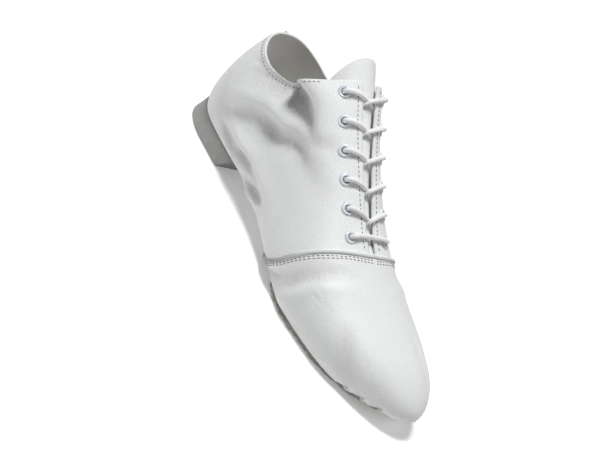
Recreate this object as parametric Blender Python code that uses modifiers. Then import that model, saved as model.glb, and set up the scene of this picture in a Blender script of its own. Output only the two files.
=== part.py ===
"""Lace-up split-sole jazz shoe for the right foot, standing empty and unbent on the floor.

Sizes are in millimetres and become metres where a mesh is made.  The shoe lies along X with its toe at +X.
Its outer side is at -Y, its inner side at +Y, and the floor is Z = 0.  "Place" is the distance from the back
of the heel along the foot, "climb" runs from 0 at the feather edge up to 1 at the opening or the crest.
"""

import math
from bisect import bisect_right
from collections import namedtuple

import bmesh
import bpy
from mathutils import Matrix, Vector

MM = 0.001
OUTER, INNER = -1, 1
SIDES = (OUTER, INNER)
SEAT_GAP = 0.3  # clearance between pieces that touch

# Driving sizes of the foot form
LENGTH = 248.0
CENTRE_PLACE = 122.83  # place at X = 0, the middle of the whole shoe
CENTRE_SIDE = -0.32  # sideways distance at Y = 0
WALL = 1.4
HEEL_ROUNDING = 36.0
HEEL_SHARPNESS = 2.2
TOE_ROUNDING = 55.0
TOE_SHARPNESS = 1.95
TOE_CAP_DEPTH = 30.0
TOE_CAP_SHARPNESS = 2.2
GIRTH_SHARE = 0.34  # part of the climb that lies below the widest line

# The back of the heel: it is furthest back at one height and leans forward above and below it
BACK_HEIGHT = 33.0
BACK_LEAN_LOW = 4.8
BACK_LEAN_HIGH = 7.5
BACK_DROP = 21.0
BACK_RISE = 42.0
BACK_REACH = 75.0

# Sections of the foot form from heel to toe
Section = namedtuple(
    "Section", "place bottom crest centre half_width girth feather_inset arch_lift fullness"
)
SECTIONS = (
    Section(0, 12.4, 106, 0.0, 29.6, 20.6, 4.6, 0.0, 2.10),
    Section(30, 12.2, 112, 0.0, 30.0, 20.6, 4.2, 0.2, 2.15),
    Section(55, 11.8, 118, -0.5, 29.4, 19.5, 4.8, 1.5, 2.50),
    Section(75, 12.0, 106, -1.5, 29.0, 18.5, 6.5, 4.0, 2.75),
    Section(100, 10.2, 88.5, -2.9, 30.2, 18.0, 7.6, 5.5, 2.45),
    Section(125, 6.4, 71.5, -3.0, 34.0, 17.0, 6.6, 3.0, 2.20),
    Section(150, 3.5, 55.5, -2.1, 38.8, 15.5, 5.0, 0.6, 2.15),
    Section(170, 3.0, 46.0, -0.4, 41.2, 14.0, 4.4, 0.0, 2.20),
    Section(190, 3.0, 39.5, 1.9, 40.0, 12.8, 4.2, 0.0, 2.25),
    Section(210, 3.1, 35.0, 4.6, 37.2, 11.0, 4.4, 0.0, 2.25),
    Section(230, 5.2, 31.0, 7.4, 34.0, 8.2, 5.0, 0.0, 2.20),
    Section(LENGTH, 8.8, 27.0, 9.4, 31.0, 4.4, 6.0, 0.0, 2.20),
)

# Opening: height of the collar from the heel to the top of the lacing
Collar = namedtuple("Collar", "place top")
COLLAR = (
    Collar(0, 73.0),
    Collar(18, 68.5),
    Collar(34, 66.5),
    Collar(48, 70.5),
    Collar(60, 81.0),
    Collar(72, 97.5),
    Collar(84, 118.0),
)
CORNER_SOFTNESS = 16.0  # rounding of the corner where collar and throat meet
COLLAR_ONLY = 45.0  # behind this place only the collar cuts the wall

# Throat and the seam between vamp and quarters
THROAT_BASE = 161.0
THROAT_GAP_BASE = 1.3
THROAT_GAP_TOP = 6.5
THROAT_END_ROUNDING = 3.0
THROAT_TOP = 74.0
SEAM_SWEEP = 34.0
SEAM_CURVE = 1.6

# Lasting margin under the foot, open where the sole pads close it
LASTING_MARGIN = 12.0
HOLE_ROUNDING = 16.0

# Mesh of the upper
# Shares of the way from the heel to the vamp seam: close together round the heel and at the collar's corner
REAR_SHARES = (
    (0.0, 0.004, 0.016, 0.036, 0.064, 0.1, 0.145, 0.195, 0.245, 0.295, 0.34, 0.375, 0.402)
    + (0.424, 0.444, 0.464, 0.49, 0.53, 0.59, 0.66, 0.73, 0.8, 0.87, 0.935, 0.98, 1.0)
)
FRONT_STATIONS = 15
FRONT_SPREAD = 1.7
LOW_CELLS = 4
HIGH_CELLS = 8
MARGIN_CELLS = 2
HEEL_HOLE = (14.0, 54.0)
TOE_HOLE = (152.0, 229.0)

# Eyelets and lace
PAIRS = 6
FIRST_EYELET = 151.0
EYELET_PITCH = 14.3
EYELET_SETBACK = 12.5
EYELET_RADIUS = 4.0
EYELET_BORE = 1.95
EYELET_BARREL = 2.3
EYELET_HEIGHT = 1.0
EYELET_HOLE = 2.6
EYELET_SIDES = 14
EYELET_CROWN = 0.5  # distance of the highest ring outside the barrel
EYELET_SHOULDER = 0.6  # distance of the outer ring inside the rim
EYELET_INNER_DROP, EYELET_OUTER_DROP = 0.65, 0.75  # share of the height that is left at these rings
LACE_RADIUS = 1.3
LACE_REST = LACE_RADIUS + SEAT_GAP + 0.2  # height of the lace's middle on the facing
LACE_OVER_RIM = EYELET_HEIGHT + SEAT_GAP + LACE_REST
CROSSING_SHARE = 0.55  # how far up between two eyelets the lace crosses
LACE_BOW = 1.3  # how late the lace turns from its eyelet towards the crossing

# The lace from inside an eyelet to the edge of the throat: share of the way, height above the leather
LaceStep = namedtuple("LaceStep", "share height")
LACE_ROUTE = (
    LaceStep(0.0, 0.0),
    LaceStep(0.0, LACE_OVER_RIM * 0.55),
    LaceStep(0.07, LACE_OVER_RIM * 0.9),
    LaceStep(0.2, LACE_OVER_RIM),
    LaceStep(0.36, LACE_OVER_RIM * 0.97),
    LaceStep(0.52, LACE_REST + 0.4),
    LaceStep(0.75, LACE_REST),
    LaceStep(1.0, LACE_REST),
)

# Tongue, insole, soles, piping
TONGUE_FRONT = 172.0
TONGUE_TOP = 63.0
TONGUE_ROUNDING = 8.0
TONGUE_THICKNESS = 1.2
TONGUE_SINK = 3.0
TONGUE_HALF_FRONT = 19.0
TONGUE_HALF_TOP = 20.0
TONGUE_SHARPNESS = 2.6
TONGUE_TOP_EASE = 0.4  # keeps the last row of the rounded top from closing to a point
TONGUE_DIP_START, TONGUE_DIP_LENGTH = 4.0, 26.0  # where the tongue leaves the vamp and how soon it is free
TONGUE_ROWS, TONGUE_HALF_CELLS, TONGUE_SPREAD = 18, 5, 1.4
FlatPiece = namedtuple("FlatPiece", "start end heel_inset toe_inset round_back spare low high")
INSOLE = FlatPiece(5.0, 241.0, 5.0, 7.0, 0.1, -0.8, WALL + SEAT_GAP, WALL + SEAT_GAP + 1.6)
FOREFOOT_SOLE = FlatPiece(131.0, 237.0, 0.0, 11.0, 26.0, 0.4, -SEAT_GAP - 2.7, -SEAT_GAP)
HEEL_INSET_REACH, TOE_INSET_REACH = 60.0, 70.0
END_STEPS = (0.06, 0.6, 2.0, 4.5, 8.5)  # distances of the closer rows from a round end
HEEL_BACK_TOP, HEEL_BACK_BASE = 2.2, 0.6
HEEL_FRONT_TOP, HEEL_FRONT_BASE = 60.0, 54.5
HEEL_CORNER = 1.2
HEEL_FLARE = 1.0
HEEL_EDGE = 0.8
PIPING_RADIUS = 1.1
PIPING_STEPS, PIPING_UNDER_STEPS = 16, 3
BACK_PIPING_FOOT = 27.0
BACK_PIPING_STEPS = 12
MERGE_DISTANCE = 0.01


def spline(knots, values, at):
    """Smooth value between knots, its slope at each knot taken from the neighbours."""
    at = min(max(at, knots[0]), knots[-1])
    i = min(bisect_right(knots, at) - 1, len(knots) - 2)

    def slope(k):
        before, after = max(k - 1, 0), min(k + 1, len(knots) - 1)
        return (values[after] - values[before]) / (knots[after] - knots[before])

    step = knots[i + 1] - knots[i]
    f = (at - knots[i]) / step
    start = values[i] * (1 + 2 * f) * (1 - f) ** 2 + slope(i) * step * f * (1 - f) ** 2
    end = values[i + 1] * f * f * (3 - 2 * f) + slope(i + 1) * step * f * f * (f - 1)
    return start + end


def rounded_end(distance, depth, sharpness):
    """Grows from 0 at an end to 1 at the given depth, as a superellipse does."""
    if distance >= depth:
        return 1.0
    return (1 - (1 - max(distance, 0.0) / depth) ** sharpness) ** (1 / sharpness)


def mix(a, b, share):
    return a + (b - a) * share


SECTION_KNOTS = [s.place for s in SECTIONS]
SECTION_COLUMNS = {name: [getattr(s, name) for s in SECTIONS] for name in Section._fields}
COLLAR_KNOTS = [c.place for c in COLLAR]
COLLAR_TOPS = [c.top for c in COLLAR]


def section_at(place):
    """The foot form's section at a place, with the heel and toe rounded off."""
    raw = Section(*(spline(SECTION_KNOTS, SECTION_COLUMNS[name], place) for name in Section._fields))
    plan = rounded_end(place, HEEL_ROUNDING, HEEL_SHARPNESS)
    plan *= rounded_end(LENGTH - place, TOE_ROUNDING, TOE_SHARPNESS)
    depth = rounded_end(LENGTH - place, TOE_CAP_DEPTH, TOE_CAP_SHARPNESS)
    widest = raw.bottom + raw.girth
    return raw._replace(
        bottom=widest - raw.girth * depth,
        crest=widest + (raw.crest - widest) * depth,
        half_width=raw.half_width * plan,
        girth=raw.girth * depth,
        feather_inset=raw.feather_inset / raw.half_width,
    )


def feather_height(section, side):
    return section.bottom + (section.arch_lift if side == INNER else 0.0)


def feather_half(section):
    return section.half_width * (1 - section.feather_inset)


def seat_height(section, y):
    """Height of the foot form's underside at a sideways distance from the section's centre."""
    across = (y / max(feather_half(section), 0.1) + 1) / 2
    return mix(feather_height(section, OUTER), feather_height(section, INNER), min(max(across, 0.0), 1.0))


def throat_gap(place):
    """Half the gap between the two facings."""
    if place >= THROAT_BASE:
        return 0.0
    up = (THROAT_BASE - place) / (THROAT_BASE - THROAT_TOP)
    end = rounded_end(THROAT_BASE - place, THROAT_END_ROUNDING, 2)
    return mix(THROAT_GAP_BASE, THROAT_GAP_TOP, up) * end


def edge_angle(place, section):
    """Angle on the section's upper arc where the opening cuts it."""
    if place >= THROAT_BASE:
        return math.pi / 2
    power = section.fullness / 2
    at_throat = math.pi / 2
    if place > COLLAR_ONLY:
        at_throat = math.acos((throat_gap(place) / section.half_width) ** power)
    rise = spline(COLLAR_KNOTS, COLLAR_TOPS, place) - section.bottom - section.girth
    share = min(rise / (section.crest - section.bottom - section.girth), 1.0)
    at_collar = math.asin(share**power) if place < COLLAR_KNOTS[-1] else math.pi / 2
    weights = math.exp(-CORNER_SOFTNESS * at_throat) + math.exp(-CORNER_SOFTNESS * at_collar)
    return -math.log(weights) / CORNER_SOFTNESS


def back_lean(height):
    """How far forward of its furthest point the back of the heel lies."""
    if height < BACK_HEIGHT:
        return BACK_LEAN_LOW * ((BACK_HEIGHT - height) / BACK_DROP) ** 2
    return BACK_LEAN_HIGH * ((height - BACK_HEIGHT) / BACK_RISE) ** 2


def in_frame(x, y, z):
    return Vector((x - CENTRE_PLACE, y - CENTRE_SIDE, z))


def placed(place, y, z):
    """Point in the shoe's frame for a place along the foot, a sideways distance and a height."""
    fade = max(0.0, 1 - place / BACK_REACH) ** 2
    return in_frame(place + back_lean(z) * fade, y, z)


def wall_point(place, side, climb):
    """Point on the side of the foot form."""
    s = section_at(place)
    foot = feather_height(s, side)
    widest = s.bottom + s.girth
    if climb < GIRTH_SHARE:
        turn = climb / GIRTH_SHARE * math.pi / 2
        inset = s.half_width * s.feather_inset
        y = s.half_width - inset * (1 - math.sin(turn))
        z = widest - (widest - foot) * math.cos(turn)
    else:
        turn = (climb - GIRTH_SHARE) / (1 - GIRTH_SHARE) * edge_angle(place, s)
        y = s.half_width * max(math.cos(turn), 0.0) ** (2 / s.fullness)
        z = widest + (s.crest - widest) * math.sin(turn) ** (2 / s.fullness)
    return placed(place, s.centre + side * y, z)


def floor_point(place, side, inward):
    """Point under the foot form, from the feather edge (0) to the centre line (1)."""
    s = section_at(place)
    y = side * feather_half(s) * (1 - inward)
    return placed(place, s.centre + y, seat_height(s, y))


def wall_normal(place, side, climb):
    step, rise = 0.05, 0.004
    place = min(max(place, step), LENGTH - step)
    climb = min(max(climb, rise), 1 - rise)
    along = wall_point(place + step, side, climb) - wall_point(place - step / 2, side, climb)
    up = wall_point(place, side, climb + rise) - wall_point(place, side, climb - rise)
    normal = along.cross(up).normalized()
    return normal if side == OUTER else -normal


def on_wall(place, side, climb, lift):
    """Point at a distance outside (or, below 0, inside) the foot form's side."""
    return wall_point(place, side, climb) + wall_normal(place, side, climb) * lift


def seam_place(climb):
    """Where the vamp meets the quarters at a given climb."""
    return THROAT_BASE - SEAM_SWEEP * (1 - climb) ** SEAM_CURVE


def station_place(station, climb):
    """Place of a mesh station, so that one station runs along the vamp seam."""
    seam = seam_place(climb)
    if station < len(REAR_SHARES):
        return seam * REAR_SHARES[station]
    left = 1 - (station + 1 - len(REAR_SHARES)) / FRONT_STATIONS
    return LENGTH - (LENGTH - seam) * left**FRONT_SPREAD


STATIONS = range(len(REAR_SHARES) + FRONT_STATIONS)


def nearest_station(place):
    return min(STATIONS, key=lambda k: abs(station_place(k, 0.0) - place))


HOLES = [tuple(nearest_station(place) for place in hole) for hole in (HEEL_HOLE, TOE_HOLE)]


def hole_inward(station):
    """How far in from the feather edge the lasting margin ends at a station: 1 where there is no hole."""
    for first, last in HOLES:
        if first <= station <= last:
            place = station_place(station, 0.0)
            s = section_at(place)
            feather = feather_half(s)
            ends = rounded_end(place - station_place(first, 0.0), HOLE_ROUNDING, 2)
            ends *= rounded_end(station_place(last, 0.0) - place, HOLE_ROUNDING, 2)
            return 1 - max(feather - LASTING_MARGIN, 0.0) / feather * ends
    return 1.0


def in_hole(station):
    """True where the mesh between this station and the next is open underneath."""
    return any(first <= station < last for first, last in HOLES)


def made_object(name, mesh, material, collection):
    obj = bpy.data.objects.new(name, mesh)
    obj.data.materials.append(material)
    collection.objects.link(obj)
    return obj


def mesh_from(name, shape, smooth_angle=40):
    """Mesh data of a bmesh in millimetres, merged, facing out and shaded smooth."""
    bmesh.ops.remove_doubles(shape, verts=shape.verts, dist=MERGE_DISTANCE)
    bmesh.ops.dissolve_degenerate(shape, edges=shape.edges, dist=MERGE_DISTANCE / 10)
    bmesh.ops.recalc_face_normals(shape, faces=shape.faces)
    bmesh.ops.scale(shape, vec=(MM, MM, MM), verts=shape.verts)
    mesh = bpy.data.meshes.new(name)
    shape.to_mesh(mesh)
    shape.free()
    mesh.shade_smooth()
    mesh.set_sharp_from_angle(angle=math.radians(smooth_angle))
    return mesh


def grid_faces(shape, rows, keep=lambda row, column: True):
    """Quads between rows of points; keep says which cells are wanted."""
    verts = [[shape.verts.new(p) for p in row] for row in rows]
    for r in range(len(rows) - 1):
        for c in range(len(rows[r]) - 1):
            if keep(r, c):
                corners = (verts[r][c], verts[r][c + 1], verts[r + 1][c + 1], verts[r + 1][c])
                shape.faces.new(corners)


def loft(shape, rings):
    """Closed solid through rings of equally many points, with a face on each end."""
    count = len(rings[0])
    verts = [[shape.verts.new(p) for p in ring] for ring in rings]
    for low, high in zip(verts, verts[1:]):
        for i in range(count):
            j = (i + 1) % count
            shape.faces.new((low[i], low[j], high[j], high[i]))
    shape.faces.new(reversed(verts[0]))
    shape.faces.new(verts[-1])


def finish(name, colour, roughness, metallic=0.0):
    material = bpy.data.materials.new(name)
    material.use_nodes = True
    shader = material.node_tree.nodes["Principled BSDF"]
    shader.inputs["Base Color"].default_value = (*colour, 1.0)
    shader.inputs["Roughness"].default_value = roughness
    shader.inputs["Metallic"].default_value = metallic
    return material


def climb_steps():
    low = [GIRTH_SHARE * i / LOW_CELLS for i in range(LOW_CELLS)]
    high = [mix(GIRTH_SHARE, 1.0, i / HIGH_CELLS) for i in range(HIGH_CELLS + 1)]
    return low + high


def upper_row(station, side):
    """Points of one station on one side, from the centre line underneath up to the opening."""
    place = station_place(station, 0.0)
    margin_end = hole_inward(station)
    row = [floor_point(place, side, 1.0)]
    row += [
        floor_point(place, side, margin_end * (1 - i / MARGIN_CELLS)) for i in range(MARGIN_CELLS)
    ]
    row += [wall_point(station_place(station, c), side, c) for c in climb_steps()]
    return row


def make_upper(collection, cutters, leather):
    """The upper: a leather wall open at collar, throat and under the sole pads, with eyelet holes."""
    shape = bmesh.new()
    for side in SIDES:
        rows = [upper_row(station, side) for station in STATIONS]
        grid_faces(shape, rows, lambda r, c: c > 0 or not in_hole(r))
    obj = made_object("upper", mesh_from("upper", shape), leather, collection)
    wall = obj.modifiers.new("wall", "SOLIDIFY")
    wall.thickness = WALL * MM
    wall.offset = -1
    wall.use_even_offset = True
    wall.use_quality_normals = True
    holes = obj.modifiers.new("eyelet holes", "BOOLEAN")
    holes.object = make_hole_cutter(cutters)
    return obj


def eyelet_spots():
    """(pair, side, place, climb) of every eyelet, set back from the facing's edge along the wall."""
    for pair in range(1, PAIRS + 1):
        place = FIRST_EYELET - EYELET_PITCH * (pair - 1)
        for side in SIDES:
            climb, walked, step = 1.0, 0.0, 0.004
            while walked < EYELET_SETBACK:
                here = wall_point(place, side, climb)
                climb -= step
                walked += (wall_point(place, side, climb) - here).length
            yield pair, side, place, climb


def standing_on(point, normal):
    """Matrix that stands a piece on a point with its +Z along the normal, in metres."""
    turn = normal.to_track_quat("Z", "Y").to_matrix().to_4x4()
    return Matrix.Translation(point * MM) @ turn


def make_hole_cutter(cutters):
    shape = bmesh.new()
    for _, side, place, climb in eyelet_spots():
        matrix = standing_on(on_wall(place, side, climb, -WALL / 2), wall_normal(place, side, climb))
        bmesh.ops.create_cone(
            shape,
            cap_ends=True,
            segments=EYELET_SIDES,
            radius1=EYELET_HOLE * MM,
            radius2=EYELET_HOLE * MM,
            depth=4 * WALL * MM,
            matrix=matrix,
        )
    mesh = bpy.data.meshes.new("eyelet_hole_cutter")
    shape.to_mesh(mesh)
    shape.free()
    cutter = bpy.data.objects.new("eyelet_hole_cutter", mesh)
    cutter.hide_render = True
    cutter.display_type = "WIRE"
    cutters.objects.link(cutter)
    return cutter


def make_eyelets(collection, enamel):
    """Flanged eyelets: one turned profile, shared by all of them."""
    dome = EYELET_HEIGHT
    profile = (
        (EYELET_BORE, dome * EYELET_INNER_DROP),
        (EYELET_BARREL + EYELET_CROWN, dome),
        (EYELET_RADIUS - EYELET_SHOULDER, dome * EYELET_OUTER_DROP),
        (EYELET_RADIUS, 0.0),
        (EYELET_BARREL, 0.0),
        (EYELET_BARREL, -WALL),
        (EYELET_BORE, -WALL),
    )
    shape = bmesh.new()
    ring = [shape.verts.new((r * MM, 0, z * MM)) for r, z in profile]
    for a, b in zip(ring, ring[1:] + ring[:1]):
        shape.edges.new((a, b))
    mesh = bpy.data.meshes.new("eyelet")
    shape.to_mesh(mesh)
    shape.free()
    for pair, side, place, climb in eyelet_spots():
        name = f"eyelet_{'outer' if side == OUTER else 'inner'}_{pair}"
        obj = made_object(name, mesh.copy(), enamel, collection)
        turned = obj.modifiers.new("turned", "SCREW")
        turned.steps = turned.render_steps = EYELET_SIDES
        turned.use_merge_vertices = True
        turned.merge_threshold = MERGE_DISTANCE * MM
        point = on_wall(place, side, climb, SEAT_GAP)
        obj.matrix_world = standing_on(point, wall_normal(place, side, climb))


def tube(name, points, radius, material, collection, cyclic=False):
    """Round cord or bead along points in millimetres."""
    curve = bpy.data.curves.new(name, "CURVE")
    curve.dimensions = "3D"
    curve.bevel_depth = radius * MM
    curve.bevel_resolution = 1
    curve.use_fill_caps = True
    line = curve.splines.new("POLY")
    line.points.add(len(points) - 1)
    for vertex, point in zip(line.points, points):
        vertex.co = (*(point * MM), 1.0)
    line.use_cyclic_u = cyclic
    return made_object(name, curve, material, collection)


def lace_arm(side, place, climb, cross_place):
    """Points from inside an eyelet, over its rim and the facing, to the edge of the throat."""
    return [
        on_wall(mix(place, cross_place, step.share**LACE_BOW), side, mix(climb, 1.0, step.share), step.height)
        for step in LACE_ROUTE
    ]


def make_lace(collection, cotton):
    """The lace where it shows: a bar at the foot of the throat and a crossing below each higher pair."""
    spots = {(pair, side): (place, climb) for pair, side, place, climb in eyelet_spots()}
    for pair in range(1, PAIRS + 1):
        drop = EYELET_PITCH * (1 - CROSSING_SHARE) if pair > 1 else 0.0
        cross_place = spots[pair, OUTER][0] + drop
        outer, inner = (lace_arm(side, *spots[pair, side], cross_place) for side in SIDES)
        name = f"lace_crossing_{pair - 1}" if pair > 1 else "lace_bar"
        tube(name, outer + inner[::-1], LACE_RADIUS, cotton, collection)


def make_piping(collection, cord):
    """Raised seams: round the foot where the vamp meets the quarters, and up the back of the heel."""
    lift = PIPING_RADIUS + SEAT_GAP
    climbs = [i / PIPING_STEPS for i in range(PIPING_STEPS + 1)]
    outer = [on_wall(seam_place(c), OUTER, c, lift) for c in climbs]
    inner = [on_wall(seam_place(c), INNER, c, lift) for c in reversed(climbs[:-1])]
    down = Vector((0, 0, -lift))
    inwards = [i / PIPING_UNDER_STEPS for i in range(1, PIPING_UNDER_STEPS + 1)]
    under = [floor_point(seam_place(0.0), INNER, inward) + down for inward in inwards]
    under += [floor_point(seam_place(0.0), OUTER, inward) + down for inward in inwards[-2::-1]]
    tube("vamp_piping", outer + inner + under, PIPING_RADIUS, cord, collection, cyclic=True)
    top = wall_point(0.0, OUTER, 1.0).z
    back, step = [], 0.1
    for i in range(BACK_PIPING_STEPS + 1):
        z = mix(BACK_PIPING_FOOT, top, i / BACK_PIPING_STEPS)
        slope = (back_lean(z + step) - back_lean(z - step)) / (2 * step)
        outward = Vector((-1, 0, slope)).normalized()
        back.append(placed(0.0, 0.0, z) + outward * lift)
    tube("back_piping", back, PIPING_RADIUS, cord, collection)


def tongue_sink(place):
    """Depth of the tongue's top face under the foot form: tight under the vamp, lower in the throat."""
    free = min(max((THROAT_BASE + TONGUE_DIP_START - place) / TONGUE_DIP_LENGTH, 0.0), 1.0)
    return WALL + SEAT_GAP + TONGUE_SINK * free * free * (3 - 2 * free)


def make_tongue(collection, leather):
    """The tongue, sewn under the vamp and lying below the lace."""
    shape = bmesh.new()
    rows = []
    for i in range(TONGUE_ROWS + 1):
        share = i / TONGUE_ROWS
        place = mix(TONGUE_FRONT, TONGUE_TOP, 1 - (1 - share) ** TONGUE_SPREAD)
        s = section_at(place)
        widest = s.bottom + s.girth
        ends = rounded_end(place - TONGUE_TOP + TONGUE_TOP_EASE, TONGUE_ROUNDING, TONGUE_SHARPNESS)
        half = mix(TONGUE_HALF_FRONT, TONGUE_HALF_TOP, share) * ends
        row = []
        for j in range(-TONGUE_HALF_CELLS, TONGUE_HALF_CELLS + 1):
            y = half * j / TONGUE_HALF_CELLS
            width = s.half_width - tongue_sink(place)
            height = s.crest - widest - tongue_sink(place)
            arc = max(1 - abs(y / width) ** s.fullness, 0.0) ** (1 / s.fullness)
            row.append(placed(place, s.centre + y, widest + height * arc))
        rows.append(row)
    grid_faces(shape, rows)
    obj = made_object("tongue", mesh_from("tongue", shape), leather, collection)
    wall = obj.modifiers.new("wall", "SOLIDIFY")
    wall.thickness = TONGUE_THICKNESS * MM
    wall.offset = -1
    return obj


def foot_places(start, end):
    """Places for a piece under the foot: the upper's own stations, and closer ones at its two round ends."""
    stations = [station_place(k, 0.0) for k in STATIONS]
    closer = [start + d for d in END_STEPS] + [end - d for d in END_STEPS]
    reach = END_STEPS[-1] + 2
    return sorted(closer + [p for p in stations if start + reach < p < end - reach])


def made_slab(name, rows, material, collection):
    """Solid through rows of points across the foot, each row going once round the piece."""
    shape = bmesh.new()
    loft(shape, rows)
    return made_object(name, mesh_from(name, shape), material, collection)


def make_flat_piece(name, flat, material, collection):
    """A flat flexible piece that follows the foot's underside between two heights above it."""
    rows = []
    for place in foot_places(flat.start, flat.end):
        s = section_at(place)
        from_heel = max(0.0, 1 - (place - flat.start) / HEEL_INSET_REACH)
        to_toe = max(0.0, 1 - (flat.end - place) / TOE_INSET_REACH)
        outline = place - flat.heel_inset * from_heel + flat.toe_inset * to_toe * to_toe * (3 - 2 * to_toe)
        half = feather_half(section_at(outline))
        half = max(half + flat.spare, half / 2) * rounded_end(place - flat.start, flat.round_back, 2)
        across = [(flat.low, y) for y in (-half, 0.0, half)] + [(flat.high, y) for y in (half, 0.0, -half)]
        rows.append([placed(place, s.centre + y, max(seat_height(s, y) + lift, 0.0)) for lift, y in across])
    return made_slab(name, rows, material, collection)


def make_heel(collection, rubber):
    """Low rubber heel: flat below, its top following the heel seat, its breast leaning forward."""
    rows = []
    for place in foot_places(HEEL_BACK_TOP, HEEL_FRONT_TOP):
        share = (place - HEEL_BACK_TOP) / (HEEL_FRONT_TOP - HEEL_BACK_TOP)
        base = mix(HEEL_BACK_BASE, HEEL_FRONT_BASE, share)
        rounding = 1 - rounded_end(HEEL_FRONT_TOP - place, HEEL_CORNER, 2)
        half = feather_half(section_at(place - HEEL_BACK_TOP)) - HEEL_CORNER * rounding
        s = section_at(place)
        row = []
        for side in SIDES:
            widths = (half + HEEL_FLARE - HEEL_EDGE, half + HEEL_FLARE, half)
            tread, edge, seat = (side * max(width, HEEL_EDGE) for width in widths)
            half_row = [
                in_frame(base, s.centre + tread, 0.0),
                in_frame(base, s.centre + edge, HEEL_EDGE),
                in_frame(place, s.centre + seat, seat_height(s, seat) - SEAT_GAP),
            ]
            row += half_row if side == INNER else half_row[::-1]
        rows.append(row)
    return made_slab("heel", rows, rubber, collection)


def main():
    for obj in list(bpy.data.objects):
        bpy.data.objects.remove(obj)
    shoe = bpy.data.collections.new("dance_shoe")
    cutters = bpy.data.collections.new("cutters")
    for collection in (shoe, cutters):
        bpy.context.scene.collection.children.link(collection)
    leather = finish("white_leather", (0.86, 0.86, 0.85), 0.42)
    lining = finish("white_lining", (0.80, 0.80, 0.78), 0.75)
    rubber = finish("grey_rubber", (0.46, 0.45, 0.44), 0.7)
    suede = finish("sole_suede", (0.42, 0.38, 0.32), 0.95)
    enamel = finish("white_enamel", (0.80, 0.82, 0.86), 0.25)
    cotton = finish("white_cotton", (0.86, 0.86, 0.84), 0.85)
    piping = finish("piping_leather", (0.62, 0.62, 0.61), 0.6)

    make_upper(shoe, cutters, leather)
    make_tongue(shoe, leather)
    make_flat_piece("insole", INSOLE, lining, shoe)
    make_flat_piece("forefoot_sole", FOREFOOT_SOLE, suede, shoe)
    make_heel(shoe, rubber)
    make_piping(shoe, piping)
    make_eyelets(shoe, enamel)
    make_lace(shoe, cotton)


main()
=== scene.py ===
"""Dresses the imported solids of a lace-up split-sole jazz shoe, right foot, and sets up its picture.

Sizes are in millimetres and become metres where a mesh is made.  "Place" is the distance from the back of the
heel along the foot, "climb" runs from 0 at the feather edge up to 1 at the opening or the crest of the vamp.
"""

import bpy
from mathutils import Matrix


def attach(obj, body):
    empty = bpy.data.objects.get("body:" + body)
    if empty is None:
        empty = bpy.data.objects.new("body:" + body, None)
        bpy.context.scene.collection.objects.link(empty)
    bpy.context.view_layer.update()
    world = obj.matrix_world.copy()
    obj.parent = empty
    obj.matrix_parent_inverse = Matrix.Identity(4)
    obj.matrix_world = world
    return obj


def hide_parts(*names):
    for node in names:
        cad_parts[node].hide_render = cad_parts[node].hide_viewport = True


bl_info = {
    "name": "Split-sole jazz shoe",
    "version": (1, 0, 0),
    "blender": (4, 5, 0),
    "location": "3D View > Sidebar > Jazz shoe",
    "description": "Leather, seams, eyelets, lace and soles of a jazz shoe round its packed solids",
    "category": "Object",
}

import math
from collections import namedtuple
from contextlib import contextmanager
from types import SimpleNamespace

import bmesh
import bpy
import numpy as np
from mathutils import Matrix, Vector

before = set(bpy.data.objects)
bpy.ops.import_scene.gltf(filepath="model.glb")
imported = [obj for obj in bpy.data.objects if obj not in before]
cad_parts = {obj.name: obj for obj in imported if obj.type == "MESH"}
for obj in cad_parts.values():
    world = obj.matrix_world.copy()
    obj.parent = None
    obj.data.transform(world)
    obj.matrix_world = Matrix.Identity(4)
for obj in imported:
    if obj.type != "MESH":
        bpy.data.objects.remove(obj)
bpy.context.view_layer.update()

MM = 0.001
OUTER, INNER = -1, 1
SIDES = (OUTER, INNER)
BODY = "root"

# The foot form, as in the part's solids
LENGTH = 248.0
CENTRE_PLACE = 122.83
CENTRE_SIDE = -0.32
WALL = 1.4
HEEL_ROUNDING, HEEL_SHARPNESS = 36.0, 2.2
TOE_ROUNDING, TOE_SHARPNESS = 55.0, 1.95
TOE_CAP_DEPTH, TOE_CAP_SHARPNESS = 30.0, 2.2
GIRTH_SHARE = 0.34
BACK_HEIGHT = 33.0
BACK_LEAN_LOW, BACK_DROP = 4.8, 21.0
BACK_LEAN_HIGH, BACK_RISE = 7.5, 42.0
BACK_REACH = 75.0

Section = namedtuple(
    "Section", "place bottom crest centre half_width girth feather_inset arch_lift fullness"
)
SECTIONS = (
    Section(0, 12.4, 106, 0.0, 29.6, 20.6, 4.6, 0.0, 2.10),
    Section(30, 12.2, 112, 0.0, 30.0, 20.6, 4.2, 0.2, 2.15),
    Section(55, 11.8, 118, -0.5, 29.4, 19.5, 4.8, 1.5, 2.50),
    Section(75, 12.0, 106, -1.5, 29.0, 18.5, 6.5, 4.0, 2.75),
    Section(100, 10.2, 88.5, -2.9, 30.2, 18.0, 7.6, 5.5, 2.45),
    Section(125, 6.4, 71.5, -3.0, 34.0, 17.0, 6.6, 3.0, 2.20),
    Section(150, 3.5, 55.5, -2.1, 38.8, 15.5, 5.0, 0.6, 2.15),
    Section(170, 3.0, 46.0, -0.4, 41.2, 14.0, 4.4, 0.0, 2.20),
    Section(190, 3.0, 39.5, 1.9, 40.0, 12.8, 4.2, 0.0, 2.25),
    Section(210, 3.1, 35.0, 4.6, 37.2, 11.0, 4.4, 0.0, 2.25),
    Section(230, 5.2, 31.0, 7.4, 34.0, 8.2, 5.0, 0.0, 2.20),
    Section(LENGTH, 8.8, 27.0, 9.4, 31.0, 4.4, 6.0, 0.0, 2.20),
)
SECTION_COLUMNS = {name: [getattr(s, name) for s in SECTIONS] for name in Section._fields}

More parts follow.
